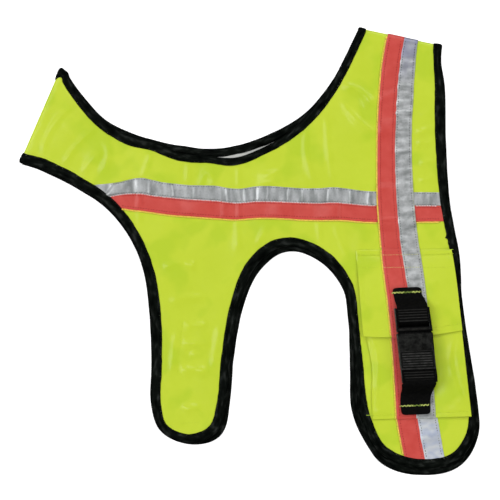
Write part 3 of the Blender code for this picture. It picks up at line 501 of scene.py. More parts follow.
def coated_cloth(name):
    m = Nodes(name, YELLOW, 0.40, Specular_IOR_Level=0.3, Coat_Weight=0.9, Coat_Roughness=0.13, Coat_IOR=1.45)
    broad, small = m.noise(46, 3), m.noise(7, 2)
    tone = m.mix(m.ramp(m.math("ADD", broad, m.math("MULTIPLY", small, 0.25)), 0.42, 0.78), YELLOW, YELLOW_LIGHT)
    m.colour(m.mix(m.ramp(m.noise(31, 2), 0.50, 0.61, 0.0, 0.85), tone, (0.470, 0.626, 0.027)))
    m.roughness(m.ramp(small, 0.3, 0.7, 0.30, 0.42))
    m.bump(m.noise(16, 2), 0.16).bump(m.noise(1.1, 2), 0.012)
    x, y = (m.add("ShaderNodeSeparateXYZ", {"Vector": m.where}).outputs[i] for i in (0, 1))
    m.bump(m.weave(x, y, 0.9, 0.9), 0.004)
    return m.material


def white_backing():
    m = Nodes("white_backing", (0.72, 0.73, 0.70), 0.82, Sheen_Weight=0.15, Sheen_Roughness=0.5)
    x, y = (m.add("ShaderNodeSeparateXYZ", {"Vector": m.where}).outputs[i] for i in (0, 1))
    woven = m.weave(x, y, 0.7, 0.7)
    m.colour(m.mix(m.ramp(m.noise(5, 3), 0.3, 0.75), (0.66, 0.67, 0.64), (0.76, 0.77, 0.74)))
    m.bump(woven, 0.06).bump(m.noise(2.2, 3), 0.05)
    return m.material


def edging():
    m = Nodes("edging_black", (0.003, 0.0034, 0.003), 0.5, Specular_IOR_Level=0.05)
    s, t = m.run()
    ribs = m.math("SINE", m.math("MULTIPLY", s, 2 * math.pi / (0.42 * MM)))
    long_noise = m.add("ShaderNodeCombineXYZ", {"X": m.math("MULTIPLY", s, 0.35), "Y": t, "Z": 0.0}).outputs[0]
    painted_sheen_streaks = m.noise(3.6, 2, 0.5, long_noise)
    dull = m.mix(m.ramp(painted_sheen_streaks, 0.34, 0.58), (0.0003, 0.0008, 0.0005), (0.0036, 0.0050, 0.0038))
    # Where the streaks are lightest the base colour is paler: a painted satin highlight along the binding.
    m.colour(m.mix(m.ramp(painted_sheen_streaks, 0.55, 0.75), dull, (0.0225, 0.0255, 0.0230)))
    m.roughness(m.ramp(m.noise(3.5, 3), 0.3, 0.7, 0.32, 0.50))
    m.bump(ribs, 0.035).bump(painted_sheen_streaks, 0.2).bump(m.noise(0.5, 2), 0.03)
    return m.material


def silver(name, along):
    """Its tone changes along the tape, fold by fold, more than across it: a fine mottle of its own, and larger patches
    of painted light and shade for its puffed folds.
    """
    m = Nodes(name, (0.36, 0.375, 0.38), 0.4, metallic=0.55, Specular_IOR_Level=0.5)
    sides = m.add("ShaderNodeSeparateXYZ", {"Vector": m.where}).outputs
    share = (1.0, 0.35) if along == "x" else (0.70, 1.0)
    drawn = m.add("ShaderNodeCombineXYZ", {"X": m.math("MULTIPLY", sides[0], share[0]), "Y": m.math("MULTIPLY", sides[1], share[1]), "Z": 0.0}).outputs[0]
    fine, patch = m.noise(1.5, 3, 0.75), m.noise(6.0, 1, 0.5, drawn)
    # The larger patches are painted light and shade of the folds; the fine noise is the tape's own mottle.
    tone = m.math("ADD", m.math("MULTIPLY", patch, 0.68), m.math("MULTIPLY", fine, 0.32))
    plain = m.mix(m.ramp(tone, 0.36, 0.64), *(((0.35, 0.37, 0.37), (0.72, 0.74, 0.75)) if along == "x" else ((0.385, 0.405, 0.405), (0.79, 0.81, 0.82))))
    y = m.add("ShaderNodeSeparateXYZ", {"Vector": m.where}).outputs[1]
    # Painted reflection: near the back fold, where the tape turns round, it is painted bluer.
    painted_fold_reflection = m.math("MULTIPLY", m.ramp(y, 0.150, 0.186), m.ramp(m.noise(9, 1), 0.35, 0.55, 0.35, 1.0))
    with_painted_fold_reflection = m.mix(painted_fold_reflection, plain, (0.40, 0.405, 0.56))
    # Painted reflection: past the pocket's hem the tape is painted paler and bluer.
    m.colour(m.mix(m.ramp(y, -0.149, -0.157), with_painted_fold_reflection, m.mix(m.ramp(patch, 0.3, 0.7), (0.58, 0.65, 0.82), (0.92, 0.96, 1.0))))
    m.roughness(m.ramp(patch, 0.3, 0.7, 0.44, 0.34))
    m.bump(fine, 0.035).bump(m.noise(5.2, 1, 0.5, drawn), 0.20)
    return m.material


def red():
    m = Nodes("red_tape", (0.60, 0.075, 0.06), 0.42, Specular_IOR_Level=0.3, Coat_Weight=0.9, Coat_Roughness=0.24)
    m.colour(m.mix(m.ramp(m.noise(9, 4, 0.6), 0.35, 0.70), (0.560, 0.058, 0.046), (0.615, 0.078, 0.064)))
    m.roughness(m.ramp(m.noise(4, 3), 0.3, 0.7, 0.36, 0.52))
    m.bump(m.noise(6, 3), 0.10).bump(m.noise(0.7, 2), 0.015)
    return m.material


def webbing():
    m = Nodes("webbing_black", (0.003, 0.003, 0.003), 0.55, Specular_IOR_Level=0.10)
    s, t = m.run()
    plain = m.mix(m.ramp(m.noise(1.6, 3), 0.3, 0.75), (0.0010, 0.0010, 0.0010), (0.0036, 0.0035, 0.0033))
    raised = m.add("ShaderNodeSeparateXYZ", {"Vector": m.add("ShaderNodeAttribute", attribute_name="run").outputs["Vector"]}).outputs[2]
    # Painted highlight: the ribs' crests, from the run's third value, are painted paler in patches.
    painted_highlight = m.math("MULTIPLY", m.ramp(raised, 0.00022, 0.00042), m.ramp(m.noise(2.6, 3), 0.25, 0.6, 0.45, 1.0))
    m.colour(m.mix(painted_highlight, plain, (0.028, 0.028, 0.026)))
    m.bump(m.weave(s, t, 1.7, 1.15), 0.12).bump(m.noise(0.45, 2), 0.08)
    return m.material


def plastic():
    m = Nodes("buckle_black", (0.005, 0.005, 0.005), 0.4, Specular_IOR_Level=0.09)
    plain = m.mix(m.ramp(m.noise(4.5, 4, 0.75), 0.36, 0.62), (0.0020, 0.0022, 0.0020), (0.0180, 0.0184, 0.0170))
    z = m.add("ShaderNodeSeparateXYZ", {"Vector": m.where}).outputs[2]
    # Painted highlight: faces above about 20.2 mm are painted paler in patches.
    painted_top_highlight = m.math("MULTIPLY", m.ramp(z, 0.0202, 0.0206), m.ramp(m.noise(4.2, 2), 0.38, 0.62, 0.25, 1.0))
    painted_highlight = m.mix(painted_top_highlight, plain, (0.046, 0.046, 0.044))
    # Painted shade: whatever lies below about 19 mm is painted darker.
    painted_low_shade = m.ramp(z, 0.0197, 0.0190, 0.0, 1.0)
    dark = m.mix(painted_low_shade, painted_highlight, (0.0026, 0.0027, 0.0026))
    # Painted highlights: the left edge along both halves, and the parting bar's top, are painted pale.
    x, y = (m.add("ShaderNodeSeparateXYZ", {"Vector": m.where}).outputs[i] for i in (0, 1))
    c, s = math.cos(STRAP_TURN), math.sin(STRAP_TURN)
    aside = m.math("ADD", m.math("ADD", m.math("MULTIPLY", x, c / MM), m.math("MULTIPLY", y, s / MM)),
                   (MIDDLE[0] - STRAP_AT[0]) * c + (MIDDLE[1] - STRAP_AT[1]) * s)
    along = m.math("ADD", m.math("SUBTRACT", m.math("MULTIPLY", x, s / MM), m.math("MULTIPLY", y, c / MM)),
                   (MIDDLE[0] - STRAP_AT[0]) * s - (MIDDLE[1] - STRAP_AT[1]) * c)
    side = m.math("MULTIPLY", m.ramp(aside, -15.3, -15.7), m.ramp(aside, -16.8, -16.5))
    bar = m.math("MULTIPLY", m.ramp(along, -5.2, -4.8), m.ramp(along, -1.8, -2.2))
    bar = m.math("MULTIPLY", bar, m.ramp(z, 0.01765, 0.01785, 0.0, 0.20))
    pale = m.math("MULTIPLY", m.math("MAXIMUM", side, bar), m.ramp(m.noise(3.0, 2), 0.35, 0.60, 0.25, 1.0))
    m.colour(m.mix(pale, dark, (0.070, 0.068, 0.060)))
    m.roughness(m.ramp(m.noise(1.4, 3), 0.3, 0.7, 0.34, 0.5))
    m.bump(m.noise(0.6, 3), 0.018)
    return m.material


def thread(name, colour, rough=0.6):
    m = Nodes(name, colour, rough, Specular_IOR_Level=0.2, Sheen_Weight=0.06)
    m.colour(m.mix(m.ramp(m.noise(1.0, 2), 0.35, 0.65), tuple(c * 0.8 for c in colour), tuple(min(c * 1.15, 1) for c in colour)))
    m.bump(m.noise(0.25, 2), 0.03)
    return m.material


CLOTH_MAT, BACK_MAT, EDGE_MAT = coated_cloth("coated_cloth"), white_backing(), edging()
SILVER_MAT, SILVER_ACROSS_MAT = silver("silver_reflective", "y"), silver("silver_across", "x")
RED_MAT, WEB_MAT, PLASTIC_MAT = red(), webbing(), plastic()
THREADS = {
    "yellow": thread("thread_yellow", THREAD_YELLOW),
    "cream": thread("thread_cream", (0.66, 0.68, 0.22)),
    "tack": thread("thread_tack", (0.68, 0.78, 0.20)),
    "tack_thin": thread("thread_tack_thin", (0.34, 0.48, 0.09)),
    "dark": thread("thread_dark", (0.045, 0.050, 0.052)),
    "red": thread("thread_red", (0.30, 0.006, 0.010)),
    "black": thread("thread_black", (0.010, 0.011, 0.010)),
    "pale": thread("thread_pale", (0.16, 0.19, 0.11)),
    "olive": thread("thread_olive", (0.50, 0.63, 0.035)),
    "lime": thread("thread_lime", (0.52, 0.60, 0.34)),
    # White thread that stands for the lit rim of the silver tape across, a painted highlight.
    "white": thread("thread_white_painted_rim_highlight", (0.86, 0.76, 0.78)),
    "amber": thread("thread_amber", (0.92, 0.64, 0.10)),
}


# ---------------------------------------------------------------------- curves
def smooth(rows, per=40):
    """A smooth curve through the rows: every column but the name, per samples a row."""
    knots = np.array([row[1:] for row in rows], float)
    steps = np.sqrt(np.linalg.norm(np.diff(knots[:, :2], axis=0), axis=1))
    slopes = np.diff(knots, axis=0) / steps[:, None]
    tangents = np.empty_like(knots)
    tangents[0], tangents[-1] = slopes[0], slopes[-1]
    weight = (steps[1:] / (steps[1:] + steps[:-1]))[:, None]
    tangents[1:-1] = slopes[:-1] * weight + slopes[1:] * (1 - weight)
    out = []
    for k, step in enumerate(steps):
        s = (np.arange(per) / per)[:, None]
        out.append(
            (2 * s**3 - 3 * s**2 + 1) * knots[k]
            + (s**3 - 2 * s**2 + s) * step * tangents[k]
            + (3 * s**2 - 2 * s**3) * knots[k + 1]
            + (s**3 - s**2) * step * tangents[k + 1]
        )
    return np.vstack(out + [knots[-1:]])


def ramp(x):
    x = np.clip(x, 0.0, 1.0)
    return x * x * (3 - 2 * x)


def value_noise(x, y, cell, seed):
    """Smooth noise from -1 to 1 over the plane, with bumps about a cell across."""
    table = np.random.default_rng(seed).uniform(-1, 1, (128, 128))
    u, v = np.asarray(x, float) / cell + 40.37, np.asarray(y, float) / cell + 51.71
    i, j = np.floor(u).astype(int), np.floor(v).astype(int)
    f, g = u - i, v - j
    f, g = f * f * f * (f * (f * 6 - 15) + 10), g * g * g * (g * (g * 6 - 15) + 10)
    i0, i1, j0, j1 = i % 128, (i + 1) % 128, j % 128, (j + 1) % 128
    low = table[i0, j0] * (1 - f) + table[i1, j0] * f
    high = table[i0, j1] * (1 - f) + table[i1, j1] * f
    return low * (1 - g) + high * g


def past(x, y, fold):
    _, fx, fy, out_x, out_y = fold
    return (x - fx) * out_x + (y - fy) * out_y


def extended(line, length=14.0):
    head, tail = line[0] - line[1], line[-1] - line[-2]
    return np.vstack([
        line[0] + head / np.linalg.norm(head) * length,
        line,
        line[-1] + tail / np.linalg.norm(tail) * length,
    ])


def read(line, t):
    i = np.clip(np.floor(t).astype(int), 0, len(line) - 2)
    return line[i] + (line[i + 1] - line[i]) * (t - i)[..., None]


def crossing(line, fold, level):
    d = past(line[:, 0], line[:, 1], fold) - level
    i = int(np.nonzero(d[:-1] * d[1:] <= 0)[0][0])
    return i + d[i] / (d[i] - d[i + 1])


def sections(rows, side, far=False, step=1.5):
    """Pairs of points, where the cloth enters the binding and on the binding's outer
    edge, evenly spaced from the chest fold to the back fold."""
    curve = smooth(rows)
    along = np.gradient(curve[:, :2], axis=0)
    along /= np.linalg.norm(along, axis=1)[:, None]
    out = np.stack([-along[:, 1], along[:, 0]], axis=1) * side
    width, reach = curve[:, 2:3], curve[:, 3:4]
    if far:
        inner, outer = curve[:, :2] + out * (reach - FAR_BINDING), curve[:, :2] + out * reach
    else:
        inner, outer = curve[:, :2], curve[:, :2] + out * width
    inner, outer = extended(inner), extended(outer)
    level = -GAP / 2 if far else 0.0
    first, last = (crossing(inner, fold, level) for fold in FOLDS)
    shifts = [crossing(outer, fold, level) - at for fold, at in zip(FOLDS, (first, last))]
    dense = np.linspace(first, last, 6000)
    walk = read(inner, dense)
    arc = np.concatenate([[0], np.cumsum(np.linalg.norm(np.diff(walk, axis=0), axis=1))])
    count = int(arc[-1] / step)
    ts = np.interp(np.linspace(0, arc[-1], count + 1), arc, dense)
    arc = np.linspace(0, arc[-1], count + 1)
    start, end = ramp(1 - arc / 26.0), ramp(1 - (arc[-1] - arc) / 26.0)
    a = read(inner, ts)
    b = read(outer, ts + shifts[0] * start + shifts[1] * end)
    if not far:
        one = np.arange(1, WRAP_STEPS + 1)[:, None] * WRAP / WRAP_STEPS
        first_more, last_more = one * np.array(FOLDS[0][3:5]), one * np.array(FOLDS[1][3:5])
        a = np.vstack([(a[0] + first_more)[::-1], a, a[-1] + last_more])
        b = np.vstack([(b[0] + first_more)[::-1], b, b[-1] + last_more])
    return a, b


def place(x, y, z):
    """Points of the near half, given as if it lay unfolded: past a fold's axis they
    go round the axis, half a turn at most."""
    x, y, z = (np.array(v, float) for v in (x, y, z))
    for fold in FOLDS:
        d = past(x, y, fold)
        round_it = d > 1e-6
        turn = np.minimum(d / WRAP, 1.0) * math.pi
        up = z - FOLD_Z
        away = np.where(round_it, up * np.sin(turn) - d, 0.0)
        x, y = x + fold[3] * away, y + fold[4] * away
        z = np.where(round_it, FOLD_Z + up * np.cos(turn), z)
    return x, y, z


def stay(x, y, z):
    return np.array(x, float), np.array(y, float), np.array(z, float)


def inside(points, outline):
    """Even-odd test of many points against a closed outline."""
    found = np.zeros(len(points), bool)
    a, b = outline, np.roll(outline, -1, axis=0)
    for k in range(0, len(points), 4000):
        x, y = points[k : k + 4000, 0][:, None], points[k : k + 4000, 1][:, None]
        crosses = (a[:, 1] > y) != (b[:, 1] > y)
        at = a[:, 0] + (y - a[:, 1]) * (b[:, 0] - a[:, 0]) / np.where(
            b[:, 1] == a[:, 1], 1e-9, b[:, 1] - a[:, 1]
        )
        found[k : k + 4000] = (crosses & (x < at)).sum(axis=1) % 2 == 1
    return found


def distance(points, line):
    """Distance of each point to an open line."""
    points = np.atleast_2d(points)
    a, d = line[:-1], np.diff(line, axis=0)
    size = np.maximum((d * d).sum(1), 1e-12)
    found = np.empty(len(points))
    for k in range(0, len(points), 6000):
        p = points[k : k + 6000]
        off = p[:, None] - a
        t = np.clip((off * d).sum(2) / size, 0, 1)
        off -= t[..., None] * d
        found[k : k + 6000] = np.sqrt((off * off).sum(2).min(axis=1))
    return found


near_neck, near_hem = sections(NECK, 1), sections(HEM, -1)
far_neck, far_hem = sections(NECK, 1, far=True), sections(HEM, -1, far=True)


# ------------------------------------------------------------------ the heights
class Field:
    """A height over the plane, kept on a grid of 1 mm and read between its points."""

    X, Y, N, M = -234.0, -224.0, 469, 449

    def __init__(self, values):
        self.values = values.reshape(self.N, self.M)

    @classmethod
    def points(cls):
        x, y = np.meshgrid(cls.X + np.arange(cls.N), cls.Y + np.arange(cls.M), indexing="ij")
        return np.stack([x.ravel(), y.ravel()], axis=1)

    def __call__(self, x, y):
        u = np.clip(np.asarray(x, float) - self.X, 0, self.N - 1.001)
        v = np.clip(np.asarray(y, float) - self.Y, 0, self.M - 1.001)
        i, j = u.astype(int), v.astype(int)
        f, g = u - i, v - j
        z = self.values
        return (z[i, j] * (1 - f) + z[i + 1, j] * f) * (1 - g) + (
            z[i, j + 1] * (1 - f) + z[i + 1, j + 1] * f
        ) * g


def crease_heights(points, rows, seed):
    """Soft ridges and troughs along bent lines, uneven along their length."""
    total = np.zeros(len(points))
    for k, (_, x0, y0, x1, y1, x2, y2, width, height) in enumerate(rows):
        bend = (2 * x1 - (x0 + x2) / 2, 2 * y1 - (y0 + y2) / 2)
        t = np.linspace(0, 1, 15)[:, None]
        line = (1 - t) ** 2 * np.array([x0, y0]) + 2 * t * (1 - t) * np.array(bend) + t**2 * np.array([x2, y2])
        reach = 3.2 * width
        near = (
            (points[:, 0] > line[:, 0].min() - reach) & (points[:, 0] < line[:, 0].max() + reach)
            & (points[:, 1] > line[:, 1].min() - reach) & (points[:, 1] < line[:, 1].max() + reach)
        )
        p = points[near]
        if not len(p):
            continue
        a, d = line[:-1], np.diff(line, axis=0)
        off = p[:, None] - a
        s = np.clip((off * d).sum(2) / (d * d).sum(1), 0, 1)
        off -= s[..., None] * d
        far = (off * off).sum(2)
        nearest = far.argmin(axis=1)
        at = (nearest + s[np.arange(len(p)), nearest]) / (len(line) - 1)
        far = np.sqrt(far[np.arange(len(p)), nearest])
        side = np.sign(off[np.arange(len(p)), nearest, 0] * d[nearest, 1] - off[np.arange(len(p)), nearest, 1] * d[nearest, 0])
        uneven = 1 + 0.18 * np.sin(at * 7.0 + k * 1.7) + 0.08 * np.sin(at * 17.0 + k)
        wide = width * (1 + 0.12 * side) * (1 + 0.15 * np.sin(at * 5.0 + k * 2.3))
        ends = ramp(at / 0.16) * ramp((1 - at) / 0.16)
        total[near] += height * uneven * np.exp(-((far / wide) ** 2)) * (0.12 + 0.88 * ends)
    return total


def shape_fields():
    """The near half's waves and creases, and the far half's, each as a field."""
    points = Field.points()
    thin_neck, thin_hem = near_neck[0][::5], near_hem[0][::5]
    away = np.minimum(distance(points, thin_neck), distance(points, thin_hem))
    outline = np.vstack([near_neck[0], near_hem[0][::-1]])
    within = inside(points, outline)
    folds = [np.maximum(0.0, -past(points[:, 0], points[:, 1], fold)) for fold in FOLDS]
    waves = np.zeros(len(points))
    for _, height, cx, cy, along, across, turn in WAVES:
        c, s = math.cos(math.radians(turn)), math.sin(math.radians(turn))
        u = (points[:, 0] - cx) * c + (points[:, 1] - cy) * s
        v = (points[:, 1] - cy) * c - (points[:, 0] - cx) * s
        waves += height * np.exp(-((u / along) ** 2) - (v / across) ** 2)
    waves *= ramp(np.minimum(away, np.minimum(*folds)) / 34.0)
    deep = np.where(within, away, 0.0)
    inward = ramp(np.minimum(deep / 3.6, np.minimum(*folds) / 7.0))
    lumps = 0.13 * value_noise(points[:, 0], points[:, 1], 21.0, 3) + 0.05 * value_noise(points[:, 0], points[:, 1], 8.5, 4)
    near = waves + (crease_heights(points, CREASES, 1) + lumps) * inward
    lumps = 0.12 * value_noise(points[:, 0], points[:, 1], 24.0, 5) + 0.04 * value_noise(points[:, 0], points[:, 1], 9.0, 6)
    far = (crease_heights(points, FAR_CREASES, 2) + lumps) * inward
    return Field(near), Field(far), Field(deep)


NEAR, FAR, DEEP = shape_fields()


def near_low(x, y):
    return NEAR_CLOTH_Z + NEAR(x, y)


def near_top(x, y):
    return near_low(x, y) + CLOTH


def far_low(x, y):
    return FAR_CLOTH_Z + FAR(x, y)


right_line = near_hem[0][(near_hem[0][:, 0] > 150) & (near_hem[0][:, 1] < 60)]
right_line = right_line[np.argsort(-right_line[:, 1])]
wide = np.linalg.norm(near_hem[1] - near_hem[0], axis=1)


def right_edge(x, y):
    """1 over the rear strap's right binding, 0 some way inside it."""
    edge = np.interp(-np.asarray(y, float), -right_line[:, 1], right_line[:, 0])
    return np.clip((x - (edge - 34.0)) / 29.0, 0.0, 1.0)


def spots(rows):
    """A field-like function of a piece's own creases."""
    def height(x, y):
        x, y = np.broadcast_arrays(np.asarray(x, float), np.asarray(y, float))
        return crease_heights(np.stack([x.ravel(), y.ravel()], axis=1), rows, 3).reshape(x.shape)
    return height


flap_own, pocket_own = spots(FLAP_CREASES), spots(POCKET_CREASES)


def flap_top(y):
    """0 at the flap's sewn top edge, which lies thin and flat, 1 just below it."""
    return ramp((1.2 - np.asarray(y, float)) / 15.0)


def flap_low(x, y):
    down, aside = ramp((1.0 - y) / 62.0), right_edge(x, y) * (BIND + GAP) / 3.2
    return near_top(x, y) + GAP * (0.2 + 0.8 * flap_top(y)) + 3.2 * (1 - (1 - down) * (1 - aside))


def pocket_low(x, y):
    v = (-49.0 - np.asarray(y, float)) / 103.0
    left = 101.2 + 8.4 * v + POCKET_WAIST * np.exp(-(((v - 0.55) / 0.22) ** 2))
    puff = POCKET_PUFF * ramp((x - left) / 5.0) * ramp((y + 153.6) / 9.0) * (0.40 + 0.60 * ramp((y + 136.0) / 46.0))
    return near_top(x, y) + GAP + np.maximum(puff, (BIND + GAP) * right_edge(x, y))


def over_across(x, y):
    return (TAPE + GAP) * ramp((63.5 - y) / 8.0) * ramp((y - 16.5) / 8.0)


def column(curve, which):
    return lambda y: np.interp(-np.asarray(y, float), -curve[:, 0], curve[:, which])


down_curve, tip_curve, across_curve = smooth(DOWN), smooth(TIP), smooth(ACROSS)


# -------------------------------------------------------------------- meshes
def finish_mesh(name, points, faces, materials, slots=None, sharp=40.0, run=None, body="root"):
    """points in millimetres, in the tables' frame."""
    points = np.asarray(points, float)
    metres = (points - np.array([MIDDLE[0], MIDDLE[1], 0.0])) * MM
    mesh = bpy.data.meshes.new(name)
    mesh.from_pydata(metres.tolist(), [], [tuple(int(i) for i in f) for f in faces])
    for material in materials:
        mesh.materials.append(material)
    if slots is not None:
        mesh.polygons.foreach_set("material_index", np.asarray(slots, np.int32))
    if run is not None:
        made = mesh.attributes.new("run", "FLOAT_VECTOR", "POINT")
        made.data.foreach_set("vector", (np.asarray(run, np.float32) * MM).ravel())
    mesh.shade_smooth()
    if sharp:
        mesh.set_sharp_from_angle(angle=math.radians(sharp))
    mesh.validate()
    obj = bpy.data.objects.new(name, mesh)
    bpy.context.scene.collection.objects.link(obj)
    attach(obj, body)
    return obj


def grid_faces(rows, columns, close_columns=False, flip=False):
    i, j = np.meshgrid(np.arange(rows - 1), np.arange(columns if close_columns else columns - 1), indexing="ij")
    i, j = i.ravel(), j.ravel()
    k = (j + 1) % columns
    quads = np.stack([i * columns + j, i * columns + k, (i + 1) * columns + k, (i + 1) * columns + j], axis=1)
    return quads[:, ::-1] if flip else quads


def shell(name, xy, low, high, materials, put=stay, run=None, round_edge=0.22, flip=False):
    """A closed sheet over a grid of points (rows, columns, 2), between two heights,
    its rim rounded a little. The first material is on top, the second below."""
    rows, columns = xy.shape[:2]
    x, y = xy[..., 0], xy[..., 1]
    bottom, top = np.array(low(x, y), float), np.array(high(x, y), float)
    rim = np.zeros((rows, columns), bool)
    rim[0], rim[-1], rim[:, 0], rim[:, -1] = True, True, True, True
    cut = (top - bottom) * round_edge
    top, bottom = np.where(rim, top - cut, top), np.where(rim, bottom + cut, bottom)
    size = rows * columns
    points = np.concatenate([
        np.stack(put(x.ravel(), y.ravel(), z.ravel()), axis=1) for z in (bottom, top)
    ])
    quads = grid_faces(rows, columns)
    faces = [tuple(q) for q in (quads[:, ::-1] if not flip else quads)]
    faces += [tuple(q + size) for q in (quads if not flip else quads[:, ::-1])]
    slots = [1] * len(quads) + [0] * len(quads)
    edge = (
        [(0, c) for c in range(columns)] + [(r, columns - 1) for r in range(1, rows)]
        + [(rows - 1, c) for c in range(columns - 2, -1, -1)] + [(r, 0) for r in range(rows - 2, 0, -1)]
    )
    for (r, c), (s, d) in zip(edge, edge[1:] + edge[:1]):
        quad = (r * columns + c, s * columns + d, s * columns + d + size, r * columns + c + size)
        faces.append(quad if not flip else quad[::-1])
        slots.append(0)
    along = None
    if run is not None:
        along = np.concatenate([run.reshape(-1, 3)] * 2)
    return finish_mesh(name, points, faces, materials, slots, run=along)


def inset(values, width, at_both=True):
    """Places from 0 to 1 with one more close to each end, for a rounded rim."""
    near = min(0.3 / max(width, 1e-6), 0.2)
    return np.unique(np.concatenate([values, [near, 1 - near] if at_both else [near]]))


def stitches(name, centres, directions, length, radius, colour, body="root", lift=0.9, sides=6):
    """One joined mesh of threads that each rise from one hole and go down the next."""
    centres, directions = np.asarray(centres, float), np.asarray(directions, float)
    directions = directions / np.linalg.norm(directions, axis=1)[:, None]
    up = np.array([0.0, 0.0, 1.0])
    across = np.cross(directions, up)
    across /= np.maximum(np.linalg.norm(across, axis=1)[:, None], 1e-9)
    over = np.cross(across, directions)
    length = np.broadcast_to(np.asarray(length, float), (len(centres),))
    t = np.array([-1.0, -0.78, -0.3, 0.3, 0.78, 1.0])
    fat = np.array([0.35, 0.85, 1.0, 1.0, 0.85, 0.35])
    lifted = np.array([-0.75, 0.15, 0.8, 0.8, 0.15, -0.75]) * lift
    turn = np.arange(sides) * 2 * math.pi / sides
    rings = (
        centres[:, None, None]
        + directions[:, None, None] * (length[:, None, None, None] / 2) * t[None, :, None, None]
        + over[:, None, None] * radius * lifted[None, :, None, None]
        + (across[:, None, None] * np.cos(turn)[None, None, :, None]
           + over[:, None, None] * np.sin(turn)[None, None, :, None]) * radius * fat[None, :, None, None]
    )
    count = len(t) * sides
    points = rings.reshape(-1, 3)
    one = [tuple(q) for q in grid_faces(len(t), sides, close_columns=True)]
    one += [tuple(range(sides - 1, -1, -1)), tuple(range(count - sides, count))]
    faces = [tuple(i + k * count for i in f) for k in range(len(centres)) for f in one]
    return finish_mesh(name, points, faces, [THREADS[colour]], body=body, sharp=0)


def row_of_stitches(path, height, pitch, start=0.6, stop=0.6, wander=0.08, seed=1, put=stay):
    """Centres and directions of stitches along a line of points, on a surface."""
    path = np.asarray(path, float)
    arc = np.concatenate([[0], np.cumsum(np.linalg.norm(np.diff(path, axis=0), axis=1))])
    at = np.arange(start, arc[-1] - stop, pitch)
    rng = np.random.default_rng(seed)
    at = at + rng.uniform(-0.12, 0.12, len(at)) * pitch
    x, y = np.interp(at, arc, path[:, 0]), np.interp(at, arc, path[:, 1])
    x1, y1 = np.interp(at + 0.4, arc, path[:, 0]), np.interp(at + 0.4, arc, path[:, 1])
    x0, y0 = np.interp(at - 0.4, arc, path[:, 0]), np.interp(at - 0.4, arc, path[:, 1])
    side = rng.uniform(-wander, wander, len(at))
    d = np.stack([x1 - x0, y1 - y0], axis=1)
    d /= np.maximum(np.linalg.norm(d, axis=1)[:, None], 1e-9)
    x, y = x - d[:, 1] * side, y + d[:, 0] * side
    centre = np.stack(put(x, y, height(x, y)), axis=1)
    ahead = np.stack(put(x + d[:, 0] * 0.5, y + d[:, 1] * 0.5, height(x + d[:, 0] * 0.5, y + d[:, 1] * 0.5)), axis=1)
    return centre, ahead - centre


def joined(parts):
    return np.vstack([p[0] for p in parts]), np.vstack([p[1] for p in parts])


# --------------------------------------------------------------- the two halves
def rims(pairs):
    p, q = pairs
    unit = (q - p) / np.linalg.norm(q - p, axis=1)[:, None]
    return q - unit * EDGE_IN, p - unit * 1.0


